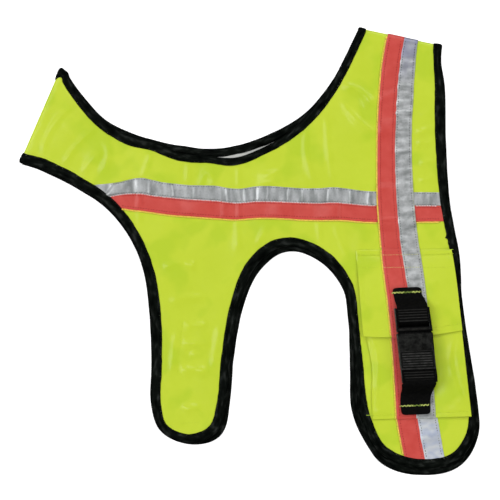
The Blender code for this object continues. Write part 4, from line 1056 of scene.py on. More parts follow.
def panel(name, neck, hem, low, high, put, top_mat, low_mat, far=False, spacing=2.3):
    (neck_edge, neck_line), (hem_edge, hem_line) = rims(neck), rims(hem)
    outline = np.vstack([neck_line, hem_line[::-1]])
    points = [tuple(p) for p in outline]
    n = len(neck_line)
    edges = [(i, (i + 1) % len(points)) for i in range(len(points))]
    for side in (0, 1):
        for k in [] if far else range(WRAP_STEPS + 1):
            i = k if side == 0 else n - 1 - k
            j = n + len(hem_line) - 1 - k if side == 0 else n + k
            a, b = outline[i], outline[j]
            count = max(int(np.linalg.norm(b - a) / 3.0), 1)
            chain = [i]
            for m in range(1, count):
                chain.append(len(points))
                points.append(tuple(a + (b - a) * m / count))
            chain.append(j)
            edges = [e for e in edges if set(e) != {i, j}]
            edges += list(zip(chain, chain[1:]))
    lo, hi = outline.min(axis=0), outline.max(axis=0)
    rows = int((hi[1] - lo[1]) / (spacing * 0.866)) + 2
    columns = int((hi[0] - lo[0]) / spacing) + 2
    r, c = np.meshgrid(np.arange(rows), np.arange(columns), indexing="ij")
    grid = np.stack([(lo[0] + spacing * (c + 0.5 * (r % 2))).ravel(), (lo[1] + spacing * 0.866 * r).ravel()], axis=1)
    grid = grid[inside(grid, outline)]
    ring = np.vstack([outline, outline[:1]])
    grid = grid[distance(grid, ring[::2]) > spacing * 0.55]
    if not far:
        for fold in FOLDS:
            grid = grid[past(grid[:, 0], grid[:, 1], fold) < -spacing * 0.5]
    points += [tuple(g) for g in grid]
    found = delaunay_2d_cdt([Vector(p) for p in points], edges, [], 0, 1e-5, True)
    new_points, new_faces, origin = found[0], found[2], found[3]
    flat = [points[origin[i][0]] if origin[i] else (p[0], p[1]) for i, p in enumerate(new_points)]
    where = {origin[i][0]: i for i in range(len(flat)) if origin[i]}
    flat = np.array(flat)
    triangles = np.array([tuple(f) for f in new_faces])
    triangles = triangles[inside(flat[triangles].mean(axis=1), outline)]
    strips = []
    for line, first in ((neck_edge, 0), (hem_edge[::-1], n)):
        start = len(flat)
        flat = np.vstack([flat, line])
        for i in range(len(line) - 1):
            a, b = where[first + i], where[first + i + 1]
            strips += [(a, b, start + i + 1), (a, start + i + 1, start + i)]
    triangles = np.vstack([triangles, np.array(strips)])
    a, b, c = (flat[triangles[:, i]] for i in range(3))
    area = (b[:, 0] - a[:, 0]) * (c[:, 1] - a[:, 1]) - (b[:, 1] - a[:, 1]) * (c[:, 0] - a[:, 0])
    triangles, area = triangles[np.abs(area) > 0.002], area[np.abs(area) > 0.002]
    triangles = np.where((area > 0)[:, None], triangles, triangles[:, ::-1])
    count = len(flat)
    x, y = flat[:, 0], flat[:, 1]
    solid = np.vstack([np.stack(put(x, y, z), axis=1) for z in (low(x, y), high(x, y))])
    faces = [tuple(f) for f in triangles[:, ::-1]] + [tuple(f) for f in triangles + count]
    slots = [1] * len(triangles) + [0] * len(triangles)
    ends = np.concatenate([triangles[:, [0, 1]], triangles[:, [1, 2]], triangles[:, [2, 0]]])
    there = {(int(p), int(q)) for p, q in ends}
    for p, q in there:
        if (q, p) not in there:
            faces.append((p, q, q + count, p + count))
            slots.append(1)
    obj = finish_mesh(name, solid, faces, [top_mat, low_mat], slots)
    return obj, float(np.abs(area).sum() / 2)


near_cloth, near_area = panel(
    "near_half", near_neck, near_hem,
    lambda x, y: near_low(x, y) + SHELL_LOW, lambda x, y: near_low(x, y) + SHELL_HIGH,
    place, CLOTH_MAT, BACK_MAT,
)
far_cloth, far_area = panel(
    "far_half", far_neck, far_hem,
    lambda x, y: far_low(x, y) + SHELL_LOW, lambda x, y: far_low(x, y) + SHELL_HIGH,
    stay, BACK_MAT, CLOTH_MAT, far=True,
)
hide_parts("side_near")
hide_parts("side_far")


# -------------------------------------------------------------------- bindings
def tape_cover(x, y, far=False):
    """1 where a tape runs in under the binding, 0 elsewhere."""
    x, y = np.asarray(x, float), np.asarray(y, float)
    left = np.interp(-y, -tip_curve[:, 0], tip_curve[:, 1])
    right = np.interp(-y, -tip_curve[:, 0], tip_curve[:, 3])
    tip = ramp((x - left + 1.6) / 1.6) * ramp((right + 1.6 - x) / 1.6) * (y < -160)
    if far:
        return tip
    top = np.interp(x, across_curve[:, 0], across_curve[:, 1])
    low = np.interp(x, across_curve[:, 0], across_curve[:, 3])
    return np.maximum(tip, ramp((y - low + 1.6) / 1.6) * ramp((top + 1.6 - y) / 1.6) * (y > 0))


# Uneven places of a binding's inner edge: where, how far in, and half width.
#       x       y     in   half
NOTCHES = [
    (176.5,   12.3,  1.9,  1.2),
    (177.2,    6.8,  0.7,  1.6),
    (181.0,   -5.0,  0.8,  1.0),
    (183.2,  -10.0, -0.7,  2.2),
    (-171.2, 154.3, -1.7,  1.9),
    (-175.4, 157.0,  3.2,  1.9),
]
# Places where a binding's outer edge stands out: where, how far, and half width.
#       x       y    out   half
BULGES = [
    (-165.3, 159.8,  1.3,  2.8),
    (-169.6, 163.4, -0.8,  1.8),
]


def binding(name, pairs, base, put, seed, far=False, panel_low=None):
    p, q = (line.copy() for line in pairs)
    arc = np.concatenate([[0], np.cumsum(np.linalg.norm(np.diff(q, axis=0), axis=1))])
    unit = (q - p) / np.linalg.norm(q - p, axis=1)[:, None]
    rough = 0.22 * value_noise(arc, arc * 0, 7.0, seed) + 0.12 * value_noise(arc, arc * 0, 2.4, seed + 1)
    p = p + unit * rough[:, None]
    if not far:
        for x, y, into, half in NOTCHES:
            near = np.exp(-(((p[:, 0] - x) ** 2 + (p[:, 1] - y) ** 2) / half**2))
            p = p - unit * (near * into)[:, None]
        for x, y, out, half in BULGES:
            near = np.exp(-(((q[:, 0] - x) ** 2 + (q[:, 1] - y) ** 2) / half**2))
            q = q + unit * (near * out)[:, None]
    q = q + unit * (0.16 * value_noise(arc, arc * 0, 11.0, seed + 2))[:, None]
    wide = np.linalg.norm(q - p, axis=1)
    turn = np.gradient(np.unwrap(np.arctan2(*np.gradient(q, axis=0)[:, ::-1].T)), arc)
    cover = 0.5 * tape_cover(p[:, 0], p[:, 1], far)
    mid = base + HALF / 2
    # The profile, round the folded strip: share of the width and height.
    #   share  height over the middle
    crown = [(0.00, 0.86), (0.012, 1.06), (0.05, 1.22), (0.16, 1.42), (0.32, 1.58), (0.50, 1.68),
             (0.66, 1.70), (0.80, 1.60), (0.90, 1.30), (0.965, 0.80)]
    shares = [0.0, 0.012, 0.05, 0.10, 0.16, 0.22, 0.28, 0.33, 0.38, 0.44, 0.50, 0.56, 0.61, 0.66, 0.72, 0.78, 0.84, 0.90, 0.94, 0.97]
    upper = [(t, float(np.interp(t, *zip(*crown)))) for t in shares]
    outer = upper + [
        (1.00, 0.10), (0.995, -0.45), (0.955, -1.05), (0.88, -1.45), (0.76, -1.66), (0.60, -1.72),
        (0.42, -1.70), (0.26, -1.60), (0.12, -1.42), (0.03, -1.22), (0.00, -0.98),
    ]
    slot = [(0.02, -0.66), (0.30, -0.80), (0.72, -0.95), (0.80, 0.0), (0.72, 0.98), (0.30, 0.82), (0.02, 0.66)]
    profile = np.array(outer + slot)
    rng = np.random.default_rng(seed + 5)
    share, height = profile[:, 0], profile[:, 1]
    x = p[:, 0:1] + (q - p)[:, 0:1] * share
    y = p[:, 1:2] + (q - p)[:, 1:2] * share
    z = mid + np.repeat(height[None], len(p), axis=0)
    on_top = np.arange(len(profile)) < len(upper)
    topside = on_top | (np.arange(len(profile)) > len(profile) - 4)
    crest = np.exp(-(((share - 0.5) / 0.36) ** 2)) * on_top
    # Two long ridges, where the strip's folded edges lie inside it.
    for at, high, k in ((0.30, 0.15, 71), (0.64, 0.13, 73)):
        ridge = np.exp(-(((share[None] - at - 0.04 * value_noise(arc, arc * 0, 16.0, seed + k)[:, None]) / 0.075) ** 2))
        z += ridge * on_top * (high * (0.75 + 0.5 * value_noise(arc, arc * 0, 9.0, seed + k + 1)))[:, None]
    z += crest * (0.16 * value_noise(arc, arc * 0, 14.0, seed + 3))[:, None]
    # Diagonal puckers where the strip is pulled round a curve, weaker elsewhere.
    at = 2.0
    while at < arc[-1] - 2:
        i = int(np.searchsorted(arc, at))
        strong = min(abs(turn[min(i, len(turn) - 1)]) * 34.0, 1.0)
        tall = rng.uniform(0.05, 0.16) + 0.30 * strong * rng.uniform(0.3, 1.0)
        lean, half = rng.uniform(-0.9, 0.9), rng.uniform(0.7, 1.9)
        across = share[None] * wide[:, None]
        off = arc[:, None] - at - lean * (across - 4.0)
        bell = np.exp(-((off / half) ** 2)) * np.sin(np.clip(share, 0, 1) * math.pi)[None] ** 0.7
        z += tall * bell * on_top
        at += rng.uniform(3.0, 9.0) * (1.0 - 0.45 * strong)
    z += cover[:, None] * topside * (1 - share)[None] ** 1.5
    z = np.minimum(z, base + HALF + 0.45)
    z = np.maximum(z, base + 0.04) if base < 1 else z
    points = np.stack(put(x.ravel(), y.ravel(), z.ravel()), axis=1)
    points[:, 2] = np.maximum(points[:, 2], 0.03)
    rows, columns = len(p), len(profile)
    size = rows * columns
    quads = grid_faces(rows, columns, close_columns=True)
    faces = [tuple(f) for f in quads] + [tuple(range(columns - 1, -1, -1)), tuple(range(size - columns, size))]
    # Which way round the sweep runs decides which way its faces look.
    a, b, c = points[0], points[1], points[columns]
    outwards = np.cross(b - a, c - a)
    middle = points[:columns].mean(axis=0)
    if np.dot(outwards, a - middle) < 0:
        faces = [f[::-1] for f in faces]
    run = np.zeros((rows, columns, 3))
    run[..., 0] = arc[:, None]
    length = np.concatenate([[0], np.cumsum(np.hypot(np.diff(share) * 8, np.diff(height)))])
    run[..., 1] = length[None]
    obj = finish_mesh(name, points, faces, [EDGE_MAT], run=run.reshape(-1, 3), sharp=60)
    return obj, (p, q, arc, unit)


near_neck_edge, near_neck_line = binding("near_neck_edging", near_neck, NEAR_Z, place, 11)
near_hem_edge, near_hem_line = binding("near_hem_edging", near_hem, NEAR_Z, place, 21)
far_neck_edge, far_neck_line = binding("far_neck_edging", far_neck, 0.0, stay, 31, far=True)
far_hem_edge, far_hem_line = binding("far_hem_edging", far_hem, 0.0, stay, 41, far=True)
for obj, node in (
    (near_neck_edge, "neck_binding_near"), (near_hem_edge, "hem_binding_near"),
    (far_neck_edge, "neck_binding_far"), (far_hem_edge, "hem_binding_far"),
):
    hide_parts(node)

# Stitches that hold the bindings, just inside their inner edges.
for tag, (p, q, arc, unit), base, put in (
    ("near_neck", near_neck_line, NEAR_Z, place), ("near_hem", near_hem_line, NEAR_Z, place),
    ("far_neck", far_neck_line, 0.0, stay), ("far_hem", far_hem_line, 0.0, stay),
):
    line = p + unit * 1.1
    if base:
        line, at = line[WRAP_STEPS:-WRAP_STEPS], arc[WRAP_STEPS:-WRAP_STEPS]
    level = base + HALF / 2 + 1.30 if base else base + HALF / 2 - 1.36
    if base:
        lifted = 0.5 * tape_cover(line[:, 0], line[:, 1])
        steps = np.concatenate([[0], np.cumsum(np.linalg.norm(np.diff(line, axis=0), axis=1))])
        def height(x, y, lx=line, lift=lifted, z=level):
            return z + 0.45 * tape_cover(x, y)
    else:
        def height(x, y, z=level):
            return np.full(np.shape(x), z)
    centre, ahead = row_of_stitches(line, height, 2.9, seed=len(tag) + int(base), wander=0.12)
    pale = np.random.default_rng(77 + len(tag)).uniform(size=len(centre)) < 0.16
    for colour, pick, long, thick in (("black", ~pale, 1.9, 0.17), ("pale", pale, 0.9, 0.17)):
        obj = stitches(f"{tag}_edging_thread_{colour}", centre[pick], ahead[pick], long, thick, colour, lift=1.0 if base else -1.0)


# ----------------------------------------------------------------------- tapes
def steps(along, across, rows, down=False):
    """Small steps up and down of a sewn tape, fading at its stitched edges: across
    runs from -1 to 1."""
    along, across = np.broadcast_arrays(np.asarray(along, float), np.asarray(across, float))
    total = np.zeros(along.shape)
    for k, (at, rise, width, lean) in enumerate(rows):
        off = along - at - lean * across - 0.25 * np.sin(across * 3.1 + 2.1 * k)
        total += 1.3 * rise * ramp((-off if down else off) / width + 0.5)
    return (total + 0.05) * (1 - 0.72 * np.abs(across) ** 5)


def tape_down(name, node, left, right, ends, base, rows, mat, slot, wraps=False, step=0.5, thick=TAPE_HIGH - TAPE_LOW, put=stay, seed=0, soft=0.0):
    """A tape that runs down the vest between two edge functions of y."""
    (l0, r0), (l1, r1) = ends
    count = max(int(abs(l1 - l0) / step), 2)
    share = inset(np.linspace(0, 1, count + 1), abs(l1 - l0))
    yl, yr = l0 + (l1 - l0) * share, r0 + (r1 - r0) * share
    a = np.stack([left(yl), yl], axis=1)
    b = np.stack([right(yr), yr], axis=1)
    wobble = 0.10 * value_noise(yl, yl * 0, 5.0, seed + 60)
    a[:, 0] += wobble
    b[:, 0] += 0.10 * value_noise(yr, yr * 0, 5.0, seed + 61)
    if wraps:
        one = np.arange(WRAP_STEPS, 0, -1)[:, None] * np.array(FOLDS[1][3:5]) * WRAP / WRAP_STEPS
        a, b = np.vstack([a[0] + one, a]), np.vstack([b[0] + one, b])
    t = inset(np.linspace(0, 1, 15), 14.0)
    xy = a[:, None] + (b - a)[:, None] * t[None, :, None]
    across = (2 * t - 1)[None]

    def low(x, y):
        return base(x, y) + TAPE_LOW + steps(y, across, rows, True) + soft * value_noise(x, y, 3.6, seed)

    run = np.zeros((*xy.shape[:2], 3))
    run[..., 0], run[..., 1] = xy[..., 1], (xy[..., 0] - xy[:, :1, 0])
    obj = shell(name, xy, low, lambda x, y: low(x, y) + thick, [mat, mat], put=put, run=run, flip=True)
    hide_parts(node)
    return obj, low


def at_fold(edge, level=0.0):
    ys = np.linspace(170, 200, 3001)
    return float(ys[int(np.argmin(np.abs(past(edge(ys), ys, FOLDS[1]) - level)))])


def meets(edge, line, start, stop):
    ys = np.linspace(start, stop, 400)
    return float(ys[int(np.argmin(distance(np.stack([edge(ys), ys], axis=1), line)))])


def line_y(a, b, x):
    return a[1] + (b[1] - a[1]) * (x - a[0]) / (b[0] - a[0])


flap_corner = {row[0]: row[1:] for row in FLAP}
pocket_corner = {row[0]: row[1:] for row in POCKET}

# Across the near half.
hem_curve = smooth(HEM)[:, :2]


def hem_x(y, left):
    part = hem_curve[(hem_curve[:, 0] < -80) & (hem_curve[:, 1] > -30)] if left else hem_curve[
        (hem_curve[:, 0] > 150) & (hem_curve[:, 1] > -60)
    ]
    order = np.argsort(part[:, 1])
    return float(np.interp(y, part[order, 1], part[order, 0]))


def end_x(edge, left):
    x = -110.0 if left else 170.0
    for _ in range(14):
        x = hem_x(float(edge(x)), left) + (-1.0 if left else 1.0)
    return x


def across_edge(which):
    return lambda x: np.interp(x, across_curve[:, 0], across_curve[:, which])


def sag(x):
    """How far the flap's lower edge hangs below the line between its corners."""
    t = np.clip((np.asarray(x, float) - 101.0) / 89.4, 0, 1)
    return FLAP_SAG * np.sin(math.pi * t) ** 0.8


for tag, above, below, rows, mat in (
    ("silver", across_edge(1), across_edge(2), FOLDS_ACROSS, SILVER_ACROSS_MAT),
    ("red", across_edge(2), across_edge(3), FOLDS_RED_ACROSS, RED_MAT),
):
    shift = 0.0 if tag == "silver" else -0.15
    bulge = (lambda x: 0.9 * np.exp(-(((x + 11.5) / 3.2) ** 2))) if tag == "silver" else (lambda x: 0 * x)
    share = inset(np.linspace(0, 1, 680), 310.0)
    xu = end_x(above, True) + (end_x(above, False) - end_x(above, True)) * share
    xl = end_x(below, True) + (end_x(below, False) - end_x(below, True)) * share
    a = np.stack([xl, below(xl) - bulge(xl) + 0.08 * value_noise(xl, xl * 0, 4.0, 70)], axis=1)
    b = np.stack([xu, above(xu) + shift + 0.10 * value_noise(xu, xu * 0, 4.0, 71)], axis=1)
    t = inset(np.linspace(0, 1, 14), 13.0)
    xy = a[:, None] + (b - a)[:, None] * t[None, :, None]
    across = (2 * t - 1)[None]

    def low(x, y, across=across, rows=rows, tag=tag):
        under = np.exp(-(((x - 131.0) / 17.0) ** 6))
        return (
            near_top(x, y) - 0.1 + TAPE_LOW
            + steps(x, across, rows) * (1 - under)
            + (0.05 if tag == "silver" else 0.02) * value_noise(x, y, 3.4, 8)
            + (0.14 if tag == "silver" else 0.0) * np.exp(-((across + 1) / 0.5) ** 2)
        )

    run = np.zeros((*xy.shape[:2], 3))
    run[..., 0], run[..., 1] = xy[..., 0], xy[..., 1] - xy[:, :1, 1]
    obj = shell(f"{tag}_across", xy, low, lambda x, y, low=low: low(x, y) + TAPE_HIGH - TAPE_LOW, [mat, mat], run=run)
    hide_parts(f"{tag}_tape_across")

    # Rows of stitches near both edges.
    centres = []
    xs = np.linspace(max(xl[0], xu[0]) + 1.5, min(xl[-1], xu[-1]) - 1.5, 700)
    insets = (0.9, 0.9) if tag == "silver" else (1.9, 2.4)
    for edge, share_in, sign in ((above, insets[0], -1), (below, insets[1], 1)):
        line = np.stack([xs, edge(xs) + sign * share_in], axis=1)
        line = line[(line[:, 0] < 113.5) | (line[:, 0] > 149.0)]
        width = 13.5 if tag == "red" else 11.5
        part = 1 - 2 * share_in / width if sign < 0 else -(1 - 2 * share_in / width)

        def height(x, y, part=part, rows=rows):
            return near_top(x, y) - 0.1 + TAPE_HIGH + steps(x, part, rows)

        for piece in (line[line[:, 0] < 120], line[line[:, 0] > 140]):
            centres.append(row_of_stitches(piece, height, 2.35, seed=5 + sign, wander=0.07))
    # Along its lower edge: on the red tape an amber whipped thread, on the silver tape a white thread line that is a
    # painted highlight of its lit rim.
    line = np.stack([xs, below(xs) + (-0.35 if tag == "silver" else -0.72)], axis=1)
    line = line[(line[:, 0] < 113.5) | (line[:, 0] > 149.0)]
    rest = TAPE_HIGH + 0.1 if tag == "silver" else 0.20
    whipped = [row_of_stitches(
        piece, lambda x, y: near_top(x, y) + 0.1 + rest, 2.35, seed=29, wander=0.1,
    ) for piece in (line[line[:, 0] < 120], line[line[:, 0] > 140])]
    centre, ahead = joined(whipped)
    stitches(
        f"{tag}_across_whip_and_painted_rim_highlight", centre, ahead, 1.6 if tag == "silver" else 2.8, 0.50 if tag == "silver" else 0.74, "white" if tag == "silver" else "amber", lift=0.3,
    )
    centre, ahead = joined(centres)
    stitches(f"{tag}_across_thread", centre, ahead, 1.25, 0.27, "dark" if tag == "silver" else "red", lift=0.5)

down_parts = []
for tag in ("silver", "red"):
    mat, slot = (SILVER_MAT, "silver_tape") if tag == "silver" else (RED_MAT, "red_tape")
    first, second, nudge = (2, 3, (-0.20, 0.0)) if tag == "silver" else (1, 2, (0.0, 0.28))
    left = lambda y, w=first, n=nudge[0], c=down_curve: column(c, w)(y) + n
    right = lambda y, w=second, n=nudge[1], c=down_curve: column(c, w)(y) + n
    rows = FOLDS_DOWN if tag == "silver" else FOLDS_RED_DOWN
    soft = 0.05 if tag == "silver" else 0.03
    seed = 101 if tag == "silver" else 111
    over = 0.0 if tag == "silver" else 0.14  # the red tape laps over the silver one's edge

    def on_back(x, y):
        return near_top(x, y) - 0.1 + over + over_across(x, y) * 0.9

    def on_flap(x, y):
        return flap_low(x, y) + SHELL_HIGH + over + flap_own(x, y)

    def on_pocket(x, y):
        return pocket_low(x, y) + SHELL_HIGH + over + pocket_own(x, y)

    def on_tip(x, y):
        return near_top(x, y) - 0.1 + over

    obj, _ = tape_down(
        f"{tag}_back", f"{tag}_tape_back", left, right,
        ((at_fold(left), at_fold(right)), (1.4, 1.4)), on_back, rows, mat, slot,
        wraps=True, put=place, seed=seed, soft=soft,
    )
    low_l = line_y(flap_corner["bottom_left"], flap_corner["bottom_right"], float(left(-75))) - 0.15 - float(sag(left(-75)))
    low_r = line_y(flap_corner["bottom_left"], flap_corner["bottom_right"], float(right(-75))) - 0.15 - float(sag(right(-75)))
    obj, _ = tape_down(
        f"{tag}_on_flap", f"{tag}_tape_flap", left, right, ((1.75, 1.75), (low_l, low_r)),
        on_flap, rows, mat, slot, seed=seed + 1, soft=soft,
    )
    pocket_l = line_y(pocket_corner["bottom_left"], pocket_corner["bottom_right"], float(left(-150))) - 0.15
    pocket_r = line_y(pocket_corner["bottom_left"], pocket_corner["bottom_right"], float(right(-150))) - 0.15
    obj, _ = tape_down(
        f"{tag}_on_pocket", f"{tag}_tape_pocket", left, right,
        ((POCKET_TAPE_TOP, POCKET_TAPE_TOP), (pocket_l, pocket_r)), on_pocket, [], mat, slot,
        seed=seed + 2, soft=soft,
    )
    tip_left = lambda y, w=first, n=nudge[0]: column(tip_curve, w)(y) + n
    tip_right = lambda y, w=second, n=nudge[1]: column(tip_curve, w)(y) + n
    top_l, top_r = pocket_l + 0.05, pocket_r + 0.05
    obj, _ = tape_down(
        f"{tag}_at_tip", f"{tag}_tape_tip", tip_left, tip_right,
        ((top_l, top_r), (meets(tip_left, near_hem[0], -165, -190) - 1.0, meets(tip_right, near_hem[0], -165, -190) - 1.0)),
        on_tip, FOLDS_TIP if tag == "silver" else [], mat, slot, seed=seed + 3, soft=soft,
    )
    far_curve = smooth([*DOWN[:-1], *TIP])
    far_left = lambda y, w=first, n=nudge[0]: column(far_curve, w)(y) + n
    far_right = lambda y, w=second, n=nudge[1]: column(far_curve, w)(y) + n

    def on_far(x, y):
        return np.maximum(far_low(x, y) + SHELL_LOW - 0.06 - 0.54 - TAPE_LOW, 0.08)

    obj, _ = tape_down(
        f"{tag}_far", f"{tag}_tape_far", far_left, far_right,
        (
            (at_fold(far_left, -GAP / 2), at_fold(far_right, -GAP / 2)),
            (meets(far_left, far_hem[0], -165, -200) + 0.4, meets(far_right, far_hem[0], -165, -200) + 0.4),
        ),
        on_far, [], mat, slot, seed=seed + 4, step=1.6,
    )

    # Stitches down both edges of each stretch.
    stitched = []
    for edge, sign in ((left, 1), (right, -1)):
        for start, stop, base, put, own in (
            (at_fold(edge) - 0.5, 2.2, on_back, place, rows),
            (0.0, low_l + 1.1, on_flap, stay, rows),
            (-79.0, pocket_l + 1.1, on_pocket, stay, []),
        ):
            ys = np.linspace(start, stop, 300)
            inset_by = 2.6 if tag == "red" else 1.9
            line = np.stack([edge(ys) + sign * inset_by, ys], axis=1)
            part = -sign * (1 - 2 * inset_by / 15.0)

            def height(x, y, base=base, part=part, own=own):
                return base(x, y) + TAPE_HIGH + steps(y, part, own, True)

            stitched.append(row_of_stitches(line, height, 2.35, seed=9 + sign, wander=0.07, put=put))
    for edge, sign in ((tip_left, 1), (tip_right, -1)):
        ys = np.linspace(top_l - 1.0, meets(edge, near_hem[0], -165, -190) + 0.6, 120)
        line = np.stack([edge(ys) + sign * 2.3, ys], axis=1)
        stitched.append(row_of_stitches(line, lambda x, y: on_tip(x, y) + TAPE_HIGH, 2.35, seed=14, wander=0.07))
    centre, ahead = joined(stitched)
    stitches(f"{tag}_down_thread", centre, ahead, 1.25, 0.27, "dark" if tag == "silver" else "red", lift=0.5)
    # The whipped thread along its outer edge.
    whipped = []
    outer_edge, aside, rest = (right, -0.5, TAPE_HIGH) if tag == "silver" else (left, -0.76, 0.34)
    for start, stop, base, put in (
        (at_fold(outer_edge) - 0.5, 2.2, on_back, place), (0.0, low_l + 0.6, on_flap, stay), (-79.0, pocket_l + 0.6, on_pocket, stay),
    ):
        ys = np.linspace(start, stop, 300)
        line = np.stack([outer_edge(ys) + aside, ys], axis=1)
        whipped.append(row_of_stitches(
            line, lambda x, y, base=base: base(x, y) + rest + (steps(y, 1.0, rows, True) if tag == "silver" else 0.0),
            2.35, seed=19, wander=0.2 if tag == "silver" else 0.05, put=put,
        ))
    ys = np.linspace(top_l - 0.6, meets(tip_left, near_hem[0], -165, -190) + 0.6, 120)
    if tag == "red":
        line = np.stack([tip_left(ys) - 0.76, ys], axis=1)
        whipped.append(row_of_stitches(line, lambda x, y: on_tip(x, y) + rest, 2.35, seed=20, wander=0.05))
    centre, ahead = joined(whipped)
    stitches(f"{tag}_down_whip", centre, ahead, 1.1 if tag == "silver" else 2.6, 0.28 if tag == "silver" else 0.76, "lime" if tag == "silver" else "amber", lift=0.4)
    stitched = []
    for edge, sign in ((far_left, 1), (far_right, -1)):
        ys = np.linspace(at_fold(edge, -1.0), meets(edge, far_hem[0], -165, -200) + 1.0, 500)
        line = np.stack([edge(ys) + sign * 1.25, ys], axis=1)
        stitched.append(row_of_stitches(line, lambda x, y: on_far(x, y) + TAPE_LOW, 2.35, seed=15, wander=0.07))
    centre, ahead = joined(stitched)
    stitches(f"{tag}_far_thread", centre, ahead, 1.5, 0.15, "dark" if tag == "silver" else "red", lift=-0.4)


# ------------------------------------------------------------- pocket and flap
def quad(corners, across, down, bulge=0.0, hang=0.0, waist=0.0):
    """Grid over a four-sided piece; bulge pushes its right edge out near the top,
    hang lets its lower edge sag, and waist draws its left edge in."""
    tl, tr, br, bl = (np.array(c[1:]) for c in corners)
    v = inset(np.linspace(0, 1, down + 1), np.linalg.norm(tl - bl))[:, None]
    t = inset(np.linspace(0, 1, across + 1), np.linalg.norm(tr - tl))
    a, b = tl + (bl - tl) * v, tr + (br - tr) * v
    a = a + np.hstack([waist * np.exp(-(((v - 0.55) / 0.22) ** 2)), 0 * v])
    b = b + np.hstack([bulge * abs(br[1] - tr[1]) * 4 * v * (1 - v) * (1 - v), 0 * v])
    xy = a[:, None] + (b - a)[:, None] * t[None, :, None]
    if hang:
        xy[..., 1] -= sag(xy[..., 0]) * ramp((v - 0.5) / 0.5)
    return xy


def flap_shape(x, y):
    """The flap's own heights over flap_low: creases, stitch dents, the turned hem."""
    bottom = line_y(flap_corner["bottom_left"], flap_corner["bottom_right"], x) - sag(x)
    rows = -0.03 * (np.exp(-(((y + 4.0) / 0.8) ** 2)) + np.exp(-(((y + 15.2) / 0.8) ** 2)))
    hem = -0.14 * np.exp(-(((y - bottom - 6.6) / 0.8) ** 2))
    return flap_own(x, y) + rows + hem + 0.06 * value_noise(x, y, 10.0, 33)


def pocket_shape(x, y):
    bottom = line_y(pocket_corner["bottom_left"], pocket_corner["bottom_right"], x)
    hem = -0.14 * np.exp(-(((y - bottom - 4.2) / 0.8) ** 2))
    return pocket_own(x, y) + hem + 0.06 * value_noise(x, y, 9.0, 34)


xy = quad(FLAP, 62, 56, FLAP_BEND, FLAP_SAG)
flap = shell(
    "flap", xy, lambda x, y: flap_low(x, y) + SHELL_LOW + flap_shape(x, y),
    lambda x, y: flap_low(x, y) + SHELL_LOW + (SHELL_HIGH - SHELL_LOW) * (0.35 + 0.65 * flap_top(y)) + flap_shape(x, y),
    [CLOTH_MAT, BACK_MAT], flip=True, round_edge=0.3,
)
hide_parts("pocket_flap")
xy = quad(POCKET, 66, 78, waist=POCKET_WAIST)
pocket = shell(
    "pouch", xy, lambda x, y: pocket_low(x, y) + SHELL_LOW + pocket_shape(x, y),
    lambda x, y: pocket_low(x, y) + SHELL_HIGH + pocket_shape(x, y), [CLOTH_MAT, BACK_MAT], flip=True, round_edge=0.3,
)
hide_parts("pocket")


def between(a, b, count=60):
    t = np.linspace(0, 1, count)[:, None]
    return np.array(a) + (np.array(b) - np.array(a)) * t


def on_flap_cloth(x, y):
    return flap_low(x, y) + SHELL_HIGH + flap_shape(x, y)


def on_pocket_cloth(x, y):
    return pocket_low(x, y) + SHELL_HIGH + pocket_shape(x, y)


# Two rows over the flap's top, plain to see where they cross the tapes.
seams = []
for tag, y0, y1 in (("upper", -3.7, -3.0), ("lower", -14.9, -14.6)):
    left_x, right_x = float(column(down_curve, 1)(y0)), float(column(down_curve, 3)(y1))
    seams.append(row_of_stitches(
        between((left_x + 0.5, y0), (right_x - 0.5, y1)),
        lambda x, y: flap_low(x, y) + SHELL_HIGH + flap_own(x, y) + TAPE_HIGH + steps(y, 0.0, FOLDS_DOWN, True) * (x > float(column(down_curve, 2)(y0))),
        2.35, seed=21, wander=0.1,
    ))
centre, ahead = joined(seams)
extras = [stitches("flap_rows_on_tapes", centre, ahead, 1.4, 0.25, "cream", lift=0.7)]
seams = []
for y0, y1, y2 in ((-3.5, -3.7, -2.4), (-14.9, -14.9, -14.4)):
    left_x, right_x = float(column(down_curve, 1)(y0)), float(column(down_curve, 3)(y1))
    seams.append(row_of_stitches(between((96.8, y0), (left_x - 0.6, y1)), on_flap_cloth, 3.4, seed=22, wander=0.1))
    seams.append(row_of_stitches(between((right_x + 0.6, y1), (183.0, y2)), on_flap_cloth, 3.4, seed=23, wander=0.1))
# The flap's hem and the pocket's hem.
flap_bl, flap_br = np.array(flap_corner["bottom_left"]), np.array(flap_corner["bottom_right"])
row = between(flap_bl + (1.0, 6.4), flap_br + (-1.2, 6.6))
row[:, 1] -= sag(row[:, 0])
seams.append(row_of_stitches(row, on_flap_cloth, 3.2, seed=24, wander=0.1))
pocket_bl, pocket_br = np.array(pocket_corner["bottom_left"]), np.array(pocket_corner["bottom_right"])
row_l, row_r = pocket_bl + (0.6, 3.8), pocket_br + (-1.2, 4.6)
seams.append(row_of_stitches(between(row_l, row_r), on_pocket_cloth, 3.2, seed=25, wander=0.1))
parts = []
for centre, ahead in seams:
    lower_tape = (centre[:, 1] < -60) & (centre[:, 0] > 124) & (centre[:, 0] < 166)
    parts.append((centre[~lower_tape], ahead[~lower_tape]))
    if lower_tape.any():
        raised = centre[lower_tape] + (0, 0, TAPE_HIGH)
        extras.append(stitches(f"hem_row_on_tapes_{len(extras)}", raised, ahead[lower_tape], 2.2, 0.18, "yellow", lift=0.6))
centre, ahead = joined(parts)
extras.append(stitches("flap_and_pocket_rows", centre, ahead, 2.3, 0.17, "olive", lift=0.45))
